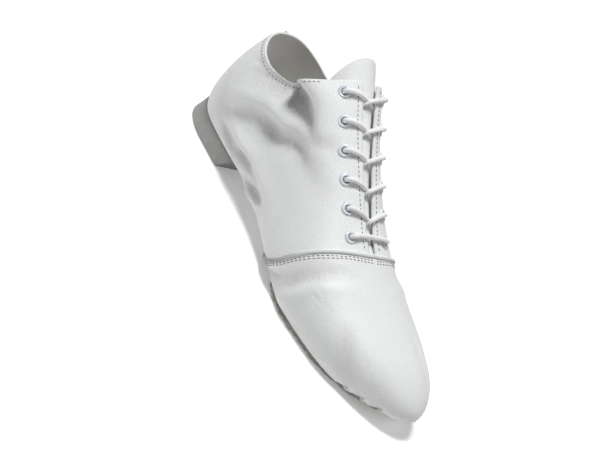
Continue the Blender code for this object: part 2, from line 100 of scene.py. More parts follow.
Collar = namedtuple("Collar", "place top")
COLLAR = (
    Collar(0, 73.0),
    Collar(18, 68.5),
    Collar(34, 66.5),
    Collar(48, 70.5),
    Collar(60, 81.0),
    Collar(72, 97.5),
    Collar(84, 118.0),
)
COLLAR_PLACES = [c.place for c in COLLAR]
COLLAR_TOPS = [c.top for c in COLLAR]
CORNER_SOFTNESS = 16.0
COLLAR_ONLY = 45.0

THROAT_BASE, THROAT_TOP = 161.0, 74.0
THROAT_GAP_BASE, THROAT_GAP_TOP = 1.3, 6.5
THROAT_END_ROUNDING = 3.0
SEAM_SWEEP, SEAM_CURVE = 34.0, 1.6
LASTING_MARGIN, HOLE_ROUNDING = 12.0, 16.0
HEEL_HOLE, TOE_HOLE = (14.0, 54.0), (152.0, 229.0)

SEAT_GAP = 0.3  # between pieces that lie on each other

# Tongue: its outline, how it is held and comes free, its waves, and how it swells into the throat
TONGUE_FRONT, TONGUE_TOP = 172.0, 63.0
TONGUE_HALF_FRONT, TONGUE_HALF_TOP = 19.0, 20.0
TONGUE_ROUNDING, TONGUE_SHARPNESS, TONGUE_END = 8.0, 2.6, 0.4
TONGUE_WALL, TONGUE_SINK = 1.2, 3.0
TONGUE_HELD, TONGUE_EASE = 4.0, 26.0
TONGUE_WAVE, TONGUE_WAVE_STEP, TONGUE_WAVE_TURN = 0.35, 5.3, 2.2
TONGUE_SWELL, TONGUE_SWELL_SPARE = 2.3, 1.2
TONGUE_ROWS, TONGUE_COLUMNS, TONGUE_CROWDING = 90, 41, 1.4

# Flat pieces under the foot
Pad = namedtuple("Pad", "back front heel_inset toe_inset round_back spare rows columns")
INSOLE = Pad(5.0, 241.0, 5.0, 7.0, 0.1, -0.8, 120, 25)
FOREFOOT = Pad(131.0, 237.0, 0.0, 9.5, 26.0, 1.2, 260, 21)
HEEL_INSET_REACH, TOE_INSET_REACH = 60.0, 70.0
INSOLE_THICKNESS, INSOLE_ROUNDING = 1.6, 0.54
SUEDE_THICKNESS, SUEDE_SEAT, SUEDE_EASE = 3.0, 0.25, 12.0
# Cut edge of the suede: share of its height and set-out, then the length and size of its waves
SUEDE_EDGE = ((0.0, -0.7), (0.18, 0.1), (0.55, 0.25), (0.85, 0.05), (1.0, -0.5))
SUEDE_WAVES = ((11.0, 0.35), (4.1, 0.35), (1.7, 0.4), (0.8, 0.3))
SUEDE_SLANT, SUEDE_LEAST = 3.0, 0.02
FIBRES, FIBRE_LENGTH, FIBRE_WIDTH = 900, 0.9, 0.13
FIBRE_STRAY, FIBRE_TURN, FIBRE_DROP = 0.35, 0.45, -0.25
FIBRE_LOWEST, FIBRE_LEAST_UP = 0.35, -0.15

HEEL_BACK_TOP, HEEL_BACK_BASE = 2.2, 0.6
HEEL_FRONT_TOP, HEEL_FRONT_BASE = 60.0, 54.5
HEEL_CORNER, HEEL_FLARE, HEEL_SEAT = 1.2, 1.0, 0.2
HEEL_TREAD, HEEL_LEAST = 0.98, 0.3
HEEL_ROWS, HEEL_COLUMNS, HEEL_SHARP = 110, 13, 50
# Side of the heel: share of the height, and how much of the flare is left
HEEL_SIDE = (
    (0.0, 0.35),
    (0.02, 0.75),
    (0.07, 1.0),
    (0.3, 0.62),
    (0.6, 0.3),
    (0.9, 0.08),
    (0.975, -0.05),
    (1.0, -0.4),
)

# Raised seams: how proud they lie, in radii, and how the one at the back comes out of the leather
PIPING_PROUD, PIPING_STEP, PIPING_SIDES = 0.45, 0.8, 12
BEAD_START, BEAD_FOOT, BEAD_RISE = 27.0, 26.0, 14.0
BEAD_TOP_GAP, BEAD_TOP_EASE, BEAD_TOP_KEEP = 0.6, 4.0, 0.6
BEAD_SUNK, BEAD_PROUD = -0.6, 0.55

# Rows of stitches: ahead of the vamp seam, and below the edges of facing and collar
SEAM_ROWS, FACING_ROW, COLLAR_ROW = (2.3, 3.7), 3.6, 2.8
SEAM_ENDS, FACING_ENDS, COLLAR_END = (0.02, 0.995), (THROAT_BASE - 3.5, 77.0), 69.0
STITCH_LIFT, STITCH_HEIGHT = 0.08, 0.5

PAIRS = 6
FIRST_EYELET, EYELET_PITCH, EYELET_SETBACK = 151.0, 14.3, 12.5
EYELET_HOLE, EYELET_BORE, EYELET_LIFT = 2.9, 1.95, 0.1
EYELET_ROLL, EYELET_FLATNESS = 0.5, 0.85
BARREL_WALL, BARREL_SPARE = 0.12, 0.6

# Lace: where it crosses the throat, as shares of the pitch, and its way over the rim and the facing: the
# share of the way from eyelet to throat and the lift, on the facing with half the lace's thickness added
LEAVE_SHARE, MEET_SHARE, DIVE_SHARE = 0.34, 0.45, 0.58
OVER_RIM = ((0.0, -2.6), (0.0, -0.6), (0.02, 1.0), (0.12, 2.2), (0.3, 2.45))
OVER_FACING = ((0.5, 0.5), (0.8, 0.0))
UNDER_FACING, UNDER_LIFT = (1.0, 0.75, 0.45, 0.15), -WALL - 1.5
CROSS_OVER, CROSS_UNDER, CROSS_AXIS = 1.9, -0.6, (0.35, 0.0, 0.94)
OVER_BEND = 1.2
LACE_STEP, LACE_SIDES = 0.7, 14

# Density of the leather's mesh, and of the lines that its creases follow
REAR_ROWS, FRONT_ROWS = 140, 100
HEEL_CROWDING, TOE_CROWDING = 0.45, 1.6
LOW_COLUMNS, HIGH_COLUMNS, MARGIN_COLUMNS = 20, 56, 4
FOLD_SAMPLES, OVER_EDGE_SAMPLES, END_SAMPLES = 96, 22, 8

# Creases in the leather: a line through three spots, how deep and how wide the trough is, the ridge beside
# it, and how much the trough leans: above 1 it is steep under the ridge and long on its other side.  The
# ridge lies above a line that runs from heel to toe, and below one that runs from toe to heel.  A blunt
# crease starts part way up its own swell.
Fold = namedtuple(
    "Fold", "side start middle end depth width ridge lean blunt over_edge", defaults=(0.0, False)
)
FOLDS = (
    # Quarter, outer side: the lobe that hangs over below the ankle, and the folds down to the arch
    Fold(OUTER, (40, 1.0), (66, 0.785), (102, 0.60), 8.5, 6.0, 7.5, 1.8, 0.22, over_edge=True),
    Fold(OUTER, (70, 0.74), (66, 0.67), (61, 0.60), -0.9, 3.0, 0.0, 1.0),
    Fold(OUTER, (94, 0.60), (100, 0.67), (105, 0.74), 1.8, 4.6, 0.4, 1.0),
    Fold(OUTER, (28, 0.22), (74, 0.445), (126, 0.655), 3.7, 6.2, 3.4, 1.15),
    Fold(OUTER, (6, 0.38), (30, 0.28), (58, 0.25), 2.0, 8.0, 0.0, 1.0),
    Fold(OUTER, (28, 0.14), (66, 0.225), (106, 0.26), 3.6, 4.2, 3.0, 1.2),
    Fold(OUTER, (103, 0.235), (88, 0.165), (74, 0.085), 3.0, 2.7, 2.2, 1.3),
    # Quarter, inner side
    Fold(INNER, (40, 0.86), (68, 0.72), (104, 0.61), 3.6, 5.0, 3.0, 1.5),
    Fold(INNER, (44, 0.34), (88, 0.44), (130, 0.58), 2.4, 5.8, 2.0, 1.2),
    Fold(INNER, (74, 0.30), (96, 0.24), (116, 0.32), 2.2, 3.4, 1.6, 1.2),
    # Vamp
    Fold(OUTER, (137, 0.06), (144, 0.17), (152, 0.31), 2.6, 2.5, 1.8, 1.2),
    Fold(OUTER, (176, 0.92), (163, 0.46), (149, 0.14), 2.8, 5.4, 1.5, 1.2),
    Fold(INNER, (175, 0.98), (163, 0.66), (150, 0.40), 1.2, 5.5, 0.7, 1.0),
    Fold(OUTER, (227, 0.14), (213, 0.42), (196, 0.66), 1.5, 6.5, 0.7, 1.0),
    Fold(INNER, (240, 0.78), (220, 0.83), (200, 0.86), 0.8, 3.8, 0.6, 1.0),
)

# Groups of parallel wrinkles: the first line's ends, the step from line to line, how many and how deep, and
# how far their ends, middles and depths stray
Wrinkles = namedtuple("Wrinkles", "side start end step count depth width blunt", defaults=(0.0,))
WRINKLES = (
    Wrinkles(OUTER, (4, 0.42), (42, 0.84), (5.0, -0.035), 6, 0.08, 1.5),
    Wrinkles(OUTER, (168, 0.44), (184, 0.45), (0.5, 0.03), 5, 0.16, 1.2),
    Wrinkles(OUTER, (63, 0.77), (57, 0.65), (4.0, -0.012), 3, 0.3, 1.5),
    Wrinkles(OUTER, (44, 0.93), (30, 0.74), (-4.0, 0.0), 4, 0.2, 1.6, 0.15),
    Wrinkles(OUTER, (82, 0.53), (75, 0.41), (5.0, 0.018), 4, 0.28, 1.5),
    Wrinkles(INNER, (60, 0.58), (88, 0.62), (4.0, -0.06), 3, 0.25, 1.5),
    Wrinkles(INNER, (166, 0.50), (178, 0.54), (0.6, 0.05), 3, 0.2, 1.3),
)
END_STRAY, MIDDLE_STRAY, DEPTH_STRAY = (2.6, 0.02), (0.8, 0.014), (0.5, 1.2)
WRINKLE_RIDGE, WRINKLE_SEED = 0.6, 3

# Gathers where the leather is lasted round the toe, and the hollows between them under the leather's edge
Pleat = namedtuple("Pleat", "place reach depth")
PLEATS = (
    Pleat(215.0, 0.12, 0.4),
    Pleat(224.0, 0.20, 0.7),
    Pleat(232.5, 0.22, 0.8),
    Pleat(240.0, 0.24, 0.7),
)
PLEAT_WIDTH, PLEAT_RIDGE, PLEAT_BLUNT = 1.6, 0.7, 0.15
PLEAT_LEAN = (0.4, -0.6, -2.6)  # along the foot, at its foot, middle and top
PLEAT_FOOT, PLEAT_MIDDLE = 0.02, 0.55  # climb of its foot, and share of its reach at its middle
Hollow = namedtuple("Hollow", "place climb length height depth")
HOLLOWS = (
    Hollow(219.5, 0.08, 6.4, 2.6, 1.6),
    Hollow(228.5, 0.095, 8.0, 3.2, 2.0),
    Hollow(237.0, 0.10, 7.4, 3.2, 2.0),
)
HOLLOW_RIM, HOLLOW_EDGE, HOLLOW_BEND = 1.25, 0.5, 0.35  # in half lengths of the hollow
HOLLOW_LIP, HOLLOW_LIP_AT, HOLLOW_LIP_WIDTH, HOLLOW_SHADE = 0.35, 1.45, 0.3, 0.7

TAPER = 1.3  # how fast a crease swells from its ends
RIDGE_OFFSET, RIDGE_WIDTH = 1.5, 1.05  # of a crease's ridge, in widths of its trough
CREASE_REACH = 4.5  # how far a crease is felt, in widths of its trough
QUARTER_END = 135.0  # creases behind it are smooth in height, those ahead of it in climb
DEEP = 6.0  # depth of the creases that get the most painted shade and crumple
CREASE_BLEND = 0.5  # how far along a crease its depth is evened out, in widths of its trough
EDGE_FADE, EDGE_KEEP = 0.13, 0.15  # climb below the openings where creases weaken, and what is left there
WANDER_ALONG, WANDER_UP, WANDER_STEP, WANDER_UP_RATE = 1.2, 0.2, 7.0, 1.3  # how folds leave smooth lines
UNEVEN, UNEVEN_RATE = 0.2, 1.7  # how much and how fast a fold's depth comes and goes
EDGE_CLEAR = 12.0  # length behind the throat's base over which creases begin to weaken at the edge
VAMP_STEP, VAMP_STEP_LENGTH = 0.5, 1.6  # where the vamp laps over the quarters
TOE_SOIL_START, TOE_SOIL_LENGTH = 196.0, 45.0
SOIL_HEIGHTS, SOIL_WEIGHTS = (3.0, 6.0), (0.16, 0.34)  # low on the leather, at the heel and at the toe


def size_property(name, description, default):
    return bpy.props.FloatProperty(name=name, description=description, default=default, min=0)


def colour_property(name, description, default):
    return bpy.props.FloatVectorProperty(name=name, description=description, subtype="COLOR", default=default)


class JAZZSHOE_PG_sizes(bpy.types.PropertyGroup):
    """Sizes of the shoe's trim in millimetres, and the strength of its creases"""

    crease: size_property("Creases", "Strength of the creases", 1.0)
    stitch_length: size_property("Stitch length", "One stitch, mm", 1.8)
    stitch_pitch: size_property("Stitch pitch", "Stitch to stitch, mm", 2.7)
    stitch_width: size_property("Thread", "Thread width, mm", 0.5)
    lace_radius: size_property("Lace radius", "Half the lace, mm", 1.45)
    eyelet_radius: size_property("Eyelet radius", "Outer radius, mm", 4.0)
    piping_radius: size_property("Piping radius", "Half the bead, mm", 1.1)


class JAZZSHOE_PG_colours(bpy.types.PropertyGroup):
    """Colours of the shoe's materials"""

    leather: colour_property("Leather", "White upper", (0.86, 0.87, 0.87))
    lining: colour_property("Lining", "Inside", (0.80, 0.79, 0.765))
    suede: colour_property("Suede", "Forefoot pad", (0.50, 0.465, 0.42))
    rubber: colour_property("Rubber", "Heel", (0.365, 0.36, 0.35))
    enamel: colour_property("Enamel", "Eyelets", (0.74, 0.78, 0.84))
    # Barrel: dark metal, made near black as painted shade inside the eyelets' bores
    barrel: colour_property("Barrel", "Inside of the eyelets", (0.16, 0.16, 0.165))
    cord: colour_property("Cord", "Lace", (0.93, 0.93, 0.925))
    # Thread: dark grey, made this dark partly as painted shade along the stitches
    thread: colour_property("Thread", "Stitches", (0.14, 0.14, 0.145))
    piping: colour_property("Piping", "Raised seams", (0.80, 0.81, 0.815))
    # Crease: painted shade, laid into the leather deep in its creases
    crease: colour_property("Crease", "Leather deep in its creases", (0.40, 0.41, 0.39))
    soil: colour_property("Soil", "Soiled leather", (0.47, 0.45, 0.42))


def sizes():
    return bpy.context.scene.jazz_shoe_sizes


def colours():
    return bpy.context.scene.jazz_shoe_colours


# Foot form


def spline(knots, values, at):
    """Smooth values between knots, the slope at each knot taken from its neighbours."""
    knots, values = np.asarray(knots, float), np.asarray(values, float)
    at = np.clip(at, knots[0], knots[-1])
    i = np.clip(np.searchsorted(knots, at, side="right") - 1, 0, len(knots) - 2)
    before = np.maximum(np.arange(len(knots)) - 1, 0)
    after = np.minimum(np.arange(len(knots)) + 1, len(knots) - 1)
    slopes = (values[after] - values[before]) / (knots[after] - knots[before])
    step = knots[i + 1] - knots[i]
    f = (at - knots[i]) / step
    start = values[i] * (1 + 2 * f) * (1 - f) ** 2 + slopes[i] * step * f * (1 - f) ** 2
    return start + values[i + 1] * f * f * (3 - 2 * f) + slopes[i + 1] * step * f * f * (f - 1)


def rounded_end(distance, depth, sharpness):
    """Grows from 0 at an end to 1 at the given depth, as a superellipse does."""
    left = np.clip(1 - np.asarray(distance, float) / depth, 0, 1)
    return (1 - left**sharpness) ** (1 / sharpness)


def mix(a, b, share):
    return a + (b - a) * share


def unit(vectors):
    return vectors / np.linalg.norm(vectors, axis=-1, keepdims=True)


def run_length(points):
    """Distance of each point from the first, along the line."""
    return np.r_[0, np.cumsum(np.linalg.norm(np.diff(points, axis=0), axis=1))]


def read_along(at, length, values):
    """Vectors read at given lengths along a line."""
    return np.stack([np.interp(at, length, values[:, k]) for k in range(3)], axis=1)


def smooth(share):
    share = np.clip(share, 0, 1)
    return share * share * (3 - 2 * share)


def section_at(place):
    place = np.asarray(place, float)
    raw = {name: spline(SECTION_COLUMNS["place"], SECTION_COLUMNS[name], place) for name in Section._fields}
    s = SimpleNamespace(**raw)
    s.feather_inset = s.feather_inset / s.half_width
    s.half_width = s.half_width * rounded_end(place, HEEL_ROUNDING, HEEL_SHARPNESS)
    s.half_width = s.half_width * rounded_end(LENGTH - place, TOE_ROUNDING, TOE_SHARPNESS)
    depth = rounded_end(LENGTH - place, TOE_CAP_DEPTH, TOE_CAP_SHARPNESS)
    s.widest = s.bottom + s.girth
    s.bottom = s.widest - s.girth * depth
    s.crest = s.widest + (s.crest - s.widest) * depth
    s.feather_half = s.half_width * (1 - s.feather_inset)
    return s


def feather_height(s, side):
    return s.bottom + np.where(np.asarray(side) == INNER, s.arch_lift, 0.0)


def seat_height(s, y):
    across = np.clip((y / np.maximum(s.feather_half, 0.1) + 1) / 2, 0, 1)
    return mix(s.bottom, s.bottom + s.arch_lift, across)


def throat_gap(place):
    up = (THROAT_BASE - place) / (THROAT_BASE - THROAT_TOP)
    gap = mix(THROAT_GAP_BASE, THROAT_GAP_TOP, up) * rounded_end(THROAT_BASE - place, THROAT_END_ROUNDING, 2)
    return np.where(place >= THROAT_BASE, 0.0, gap)


def edge_angle(place, s):
    power = s.fullness / 2
    gap = np.clip(throat_gap(place) / np.maximum(s.half_width, 1.0), 0, 1)
    at_throat = np.where(place > COLLAR_ONLY, np.arccos(gap**power), np.pi / 2)
    rise = (spline(COLLAR_PLACES, COLLAR_TOPS, place) - s.widest) / np.maximum(s.crest - s.widest, 1.0)
    at_collar = np.arcsin(np.clip(rise, 0, 1) ** power)
    at_collar = np.where(place < COLLAR_PLACES[-1], at_collar, np.pi / 2)
    weights = np.exp(-CORNER_SOFTNESS * at_throat) + np.exp(-CORNER_SOFTNESS * at_collar)
    return np.where(place >= THROAT_BASE, np.pi / 2, -np.log(weights) / CORNER_SOFTNESS)


def back_lean(height):
    low = BACK_LEAN_LOW * ((BACK_HEIGHT - height) / BACK_DROP) ** 2
    high = BACK_LEAN_HIGH * ((height - BACK_HEIGHT) / BACK_RISE) ** 2
    return np.where(height < BACK_HEIGHT, low, high)


def in_frame(x, y, z):
    return np.stack(np.broadcast_arrays(x - CENTRE_PLACE, y - CENTRE_SIDE, z), axis=-1).astype(float)


def placed(place, y, z):
    fade = np.maximum(0.0, 1 - place / BACK_REACH) ** 2
    return in_frame(place + back_lean(z) * fade, y, z)


def wall_point(place, side, climb):
    """Points on the side of the foot form."""
    place, side, climb = np.broadcast_arrays(np.asarray(place, float), side, np.asarray(climb, float))
    s = section_at(place)
    low = np.clip(climb / GIRTH_SHARE, 0, 1) * np.pi / 2
    high = np.clip((climb - GIRTH_SHARE) / (1 - GIRTH_SHARE), 0, 1) * edge_angle(place, s)
    low_y = s.half_width * (1 - s.feather_inset * (1 - np.sin(low)))
    low_z = s.widest - (s.widest - feather_height(s, side)) * np.cos(low)
    high_y = s.half_width * np.maximum(np.cos(high), 0) ** (2 / s.fullness)
    high_z = s.widest + (s.crest - s.widest) * np.sin(high) ** (2 / s.fullness)
    below = climb < GIRTH_SHARE
    return placed(place, s.centre + side * np.where(below, low_y, high_y), np.where(below, low_z, high_z))


def floor_point(place, side, inward):
    """Points under the foot form, from the feather edge (0) to the centre line (1)."""
    s = section_at(place)
    y = side * s.feather_half * (1 - inward)
    return placed(np.asarray(place, float), s.centre + y, seat_height(s, y))


def wall_normal(place, side, climb):
    step, rise = 0.05, 0.004
    place = np.clip(place, step, LENGTH - step)
    climb = np.clip(climb, rise, 1 - rise)
    along = wall_point(place + step, side, climb) - wall_point(place - step / 2, side, climb)
    up = wall_point(place, side, climb + rise) - wall_point(place, side, climb - rise)
    normal = np.cross(along, up) * -np.asarray(side, float)[..., None]
    return normal / np.maximum(np.linalg.norm(normal, axis=-1, keepdims=True), 1e-9)


def seam_place(climb):
    return THROAT_BASE - SEAM_SWEEP * (1 - np.asarray(climb, float)) ** SEAM_CURVE


# Creases


def through_three(values, share):
    """Values along a smooth line that has the three given ones at its start, middle and end."""
    start, middle, end = values
    handle = 2 * middle - (start + end) / 2
    return start * (1 - share) ** 2 + handle * 2 * share * (1 - share) + end * share**2


def climb_at_height(place, side, height):
    climbs = np.linspace(0, 1, 240)
    walls = wall_point(place[:, None], side, climbs[None])[..., 2]
    return np.array([np.interp(h, wall, climbs) for h, wall in zip(height, walls)])


def all_folds():
    """The creases placed one by one, the wrinkles of each group and the gathers at the toe."""
    yield from FOLDS
    draw = np.random.default_rng(WRINKLE_SEED)
    for group in WRINKLES:
        for k in range(group.count):
            start, end = (np.add(spot, np.multiply(group.step, k)) for spot in (group.start, group.end))
            start, end = (spot + draw.normal(0, 1, 2) * END_STRAY for spot in (start, end))
            middle = (start + end) / 2 + draw.normal(0, 1, 2) * MIDDLE_STRAY
            depth = group.depth * draw.uniform(*DEPTH_STRAY)
            ridge = depth * WRINKLE_RIDGE
            yield Fold(group.side, start, middle, end, depth, group.width, ridge, 1.0, group.blunt)
    for pleat in PLEATS:
        climbs = (PLEAT_FOOT, pleat.reach * PLEAT_MIDDLE, pleat.reach)
        line = [(pleat.place + lean, climb) for lean, climb in zip(PLEAT_LEAN, climbs)]
        ridge = pleat.depth * PLEAT_RIDGE
        for side in SIDES:
            yield Fold(side, *line, pleat.depth, PLEAT_WIDTH, ridge, 1.0, PLEAT_BLUNT)


def fold_lines():
    """Each crease with its line, the direction across it and how strong it is along it."""
    share = np.linspace(0, 1, FOLD_SAMPLES)
    lines = []
    for fold in all_folds():
        places, climbs = np.array([fold.start, fold.middle, fold.end], float).T
        place, climb = through_three(places, share), through_three(climbs, share)
        phase = places.sum()
        run = share * np.ptp(places) / WANDER_STEP
        place = place + WANDER_ALONG * np.sin(run + phase)
        if places.max() < QUARTER_END:
            heights = wall_point(places, fold.side, climbs)[:, 2]
            wander = WANDER_UP * fold.width * np.sin(run * WANDER_UP_RATE + phase)
            climb = climb_at_height(place, fold.side, through_three(heights, share) + wander)
        side = np.full(FOLD_SAMPLES, fold.side)
        line = wall_point(place, side, climb)
        across = unit(np.cross(wall_normal(place, side, climb), np.gradient(line, axis=0)))
        taper = np.maximum(np.sin(np.pi * mix(fold.blunt, 1.0, share)), 0) ** TAPER
        taper = taper * (1 + UNEVEN * np.sin(run * UNEVEN_RATE + 2 * phase))
        if fold.over_edge:
            step = (line[0] - line[3]) / 3
            line = np.concatenate([line[0] + step * np.arange(OVER_EDGE_SAMPLES, 0, -1)[:, None], line])
            across = np.concatenate([np.repeat(across[:1], OVER_EDGE_SAMPLES, axis=0), across])
            taper = np.concatenate([taper[0] * smooth(np.linspace(0, 1, OVER_EDGE_SAMPLES)), taper])
        lines.append((fold, line, across * -fold.side, taper))
    return lines


def hollow_spots():
    """Middle of each hollow, and the directions along and up the leather there."""
    spots = []
    for hollow in HOLLOWS:
        for side in SIDES:
            steps = ((0, 0), (0.5, 0), (0, 0.02))
            middle, ahead, above = (
                wall_point(hollow.place + along, side, hollow.climb + up) for along, up in steps
            )
            spots.append((middle, unit(ahead - middle), unit(above - middle), hollow))
    return spots


FOLD_LINES = fold_lines()
HOLLOW_SPOTS = hollow_spots()


def crease_shares(points, fold, line, across, taper):
    """How much of a crease's ridge and trough points near it feel."""
    apart = points[:, None] - line[None]
    gaps = np.linalg.norm(apart, axis=2)
    weight = np.exp((gaps.min(axis=1, keepdims=True) - gaps) / (CREASE_BLEND * fold.width))
    weight /= weight.sum(axis=1, keepdims=True)
    aside = np.einsum("ijk,jk,ij->i", apart, across, weight)
    tangent = unit(np.gradient(line, axis=0))
    depth = np.einsum("ijk,jk,ij->i", apart, np.cross(tangent, across), weight)
    before = np.maximum(-apart[:, 0] @ unit(line[END_SAMPLES] - line[0]), 0)
    after = np.maximum(apart[:, -1] @ unit(line[-1] - line[-1 - END_SAMPLES]), 0)
    beyond = (before**2 + after**2 + depth**2) / fold.width**2
    strength = weight @ taper * np.exp(-beyond)
    off = aside / fold.width
    steep = math.sqrt(fold.lean)
    cut = np.exp(-(np.where(off > 0, off * steep, off / fold.lean) ** 2))
    past = off - RIDGE_OFFSET / steep
    lip = np.exp(-((np.where(past > 0, past / fold.lean, past * steep) / RIDGE_WIDTH) ** 2))
    return lip * strength, cut * strength


def hollow_shares(points, middle, along, up, hollow):
    """How much of a hollow's lip and bowl points feel."""
    apart = points - middle
    x = apart @ along / (hollow.length / 2)
    y = apart @ up / (hollow.height / 2)
    near = np.linalg.norm(apart, axis=1) < hollow.length
    away = np.where(near, np.hypot(x, y - HOLLOW_BEND * x * x), np.inf)
    lip = np.exp(-(((away - HOLLOW_LIP_AT) / HOLLOW_LIP_WIDTH) ** 2)) * (y > 0)
    return lip, smooth((HOLLOW_RIM - away) / HOLLOW_EDGE)


def relief(points, place, climb):
    """Height of the leather over the foot form, and how deep in a trough each point lies (0 to 1)."""
    points, place, climb = points.reshape(-1, 3), np.ravel(place), np.ravel(climb)
    height, trough = np.zeros(len(points)), np.zeros(len(points))
    near_edge = mix(EDGE_KEEP, 1.0, smooth((1 - climb) / EDGE_FADE))
    near_edge = mix(1.0, near_edge, smooth((THROAT_BASE - place) / EDGE_CLEAR))
    for fold, line, across, taper in FOLD_LINES:
        reach = fold.width * CREASE_REACH
        near = np.all((points > line.min(0) - reach) & (points < line.max(0) + reach), axis=1)
        if not near.any():
            continue
        lip, cut = crease_shares(points[near], fold, line, across, taper)
        kept = 1.0 if fold.over_edge else near_edge[near]
        height[near] += (fold.ridge * lip - fold.depth * cut) * kept
        trough[near] = np.maximum(trough[near], cut * kept * min(fold.depth / DEEP, 1.0))
    for middle, along, up, hollow in HOLLOW_SPOTS:
        lip, bowl = hollow_shares(points, middle, along, up, hollow)
        height += HOLLOW_LIP * lip - hollow.depth * bowl
        # The bowl of a hollow gets painted shade and crumple through the trough value
        trough = np.maximum(trough, bowl * HOLLOW_SHADE)
    height *= sizes().crease
    height += VAMP_STEP * smooth((place - seam_place(climb)) / VAMP_STEP_LENGTH + 0.5)
    return height, trough


def on_leather(place, side, climb, lift=0.0):
    """Points at a height above the creased leather, and the surface's normals there."""
    given = np.broadcast_arrays(np.asarray(place, float), side, climb)
    place, side, climb = (np.atleast_1d(values) for values in given)
    points = wall_point(place, side, climb)
    normals = wall_normal(place, side, climb)
    height, _ = relief(points, place, climb)
    return points + normals * (height + lift)[:, None], normals


def inset_climb(place, side, distance):
    """Climb at a distance down the wall from the opening's edge."""
    climbs = np.linspace(1.0, 0.4, 400)
    walk = wall_point(np.full_like(climbs, place), np.full_like(climbs, side), climbs)
    return float(np.interp(distance, run_length(walk), climbs))


def eyelet_spots():
    """{(pair, side): (place, climb)} of every eyelet, set back from the facing's edge along the wall."""
    spots = {}
    for pair in range(1, PAIRS + 1):
        place = FIRST_EYELET - EYELET_PITCH * (pair - 1)
        for side in SIDES:
            spots[pair, side] = (place, inset_climb(place, side, EYELET_SETBACK))
    return spots


def eyelet_axes():
    """Points where the eyelets sit on the leather, and the directions they face."""
    spots = eyelet_spots()
    place, climb = np.array(list(spots.values())).T
    return on_leather(place, np.array([side for _, side in spots]), climb, EYELET_LIFT)


# Meshes


def nodes_named(prefix):
    return [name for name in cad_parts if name.startswith(prefix)]


def made_piece(name, mesh, materials, replaced=()):
    """Links a finished mesh as a piece that rides with the shoe."""
    for material in materials:
        mesh.materials.append(material)
    piece = bpy.data.objects.new(name, mesh)
    bpy.context.scene.collection.objects.link(piece)
    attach(piece, BODY)
    if replaced:
        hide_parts(*replaced)
    return piece


def made_wall(name, mesh, thickness, replaced, even=False):
    """Piece of leather with a lining, given its thickness inwards."""
    piece = made_piece(name, mesh, (MATERIALS["leather"], MATERIALS["lining"]), replaced)
    wall = piece.modifiers.new("wall", "SOLIDIFY")
    wall.thickness = thickness * MM
    wall.offset = -1
    wall.use_quality_normals = even
    wall.material_offset = 1


@contextmanager
def opened(mesh):
    """The mesh as editable geometry, written back at the end."""
    shape = bmesh.new()
    shape.from_mesh(mesh)
    yield shape
    shape.to_mesh(mesh)
    shape.free()


def even_facets(mesh):
    """Splits cells into triangles and turns edges where the cells lean, so that no facet is a sliver."""
    with opened(mesh) as shape:
        bmesh.ops.triangulate(shape, faces=shape.faces, quad_method="SHORT_EDGE")
        bmesh.ops.beautify_fill(shape, faces=shape.faces, edges=shape.edges, method="ANGLE")


def mesh_of(name, points, faces, attributes=None, weld=0.02):
    """Mesh in metres from points in millimetres, welded, facing outwards and shaded smooth."""
    mesh = bpy.data.meshes.new(name)
    mesh.from_pydata(np.asarray(points) * MM, [], [list(map(int, f)) for f in faces])
    for key, values in (attributes or {}).items():
        layer = mesh.attributes.new(key, "FLOAT", "POINT")
        layer.data.foreach_set("value", np.asarray(values, np.float32))
    with opened(mesh) as shape:
        bmesh.ops.remove_doubles(shape, verts=shape.verts, dist=weld * MM)
        bmesh.ops.dissolve_degenerate(shape, edges=shape.edges, dist=1e-7)
        bmesh.ops.poke(shape, faces=[face for face in shape.faces if len(face.verts) > 4])
        bmesh.ops.recalc_face_normals(shape, faces=shape.faces)
    mesh.shade_smooth()
    return mesh


def grid_cells(rows, columns, first=0, keep=None):
    """Quads of a grid of points numbered row by row."""
    r, c = np.meshgrid(np.arange(rows - 1), np.arange(columns - 1), indexing="ij")
    corner = first + r * columns + c
    cells = np.stack([corner, corner + 1, corner + columns + 1, corner + columns], axis=-1)
    return cells[keep] if keep is not None else cells.reshape(-1, 4)


def end_faces(rings, count):
    return [tuple(range(count))[::-1], tuple((rings - 1) * count + i for i in range(count))]


def ring_mesh(name, rings):
    """Closed mesh through rings of points, each with the same number."""
    count = len(rings[0])
    faces = []
    for r in range(len(rings) - 1):
        for i in range(count):
            j = (i + 1) % count
            faces.append((r * count + i, r * count + j, (r + 1) * count + j, (r + 1) * count + i))
    return mesh_of(name, np.concatenate(rings), faces + end_faces(len(rings), count), weld=0.004)


def smooth_path(points, spacing):
    """Evenly spaced points on a smooth curve through the given ones."""
    length = run_length(points)
    fine = np.linspace(0, length[-1], max(int(length[-1] / spacing) * 4, 8))
    curve = np.stack([spline(length, points[:, k], fine) for k in range(3)], axis=1)
    length = run_length(curve)
    return read_along(np.linspace(0, length[-1], int(length[-1] / spacing) + 1), length, curve)


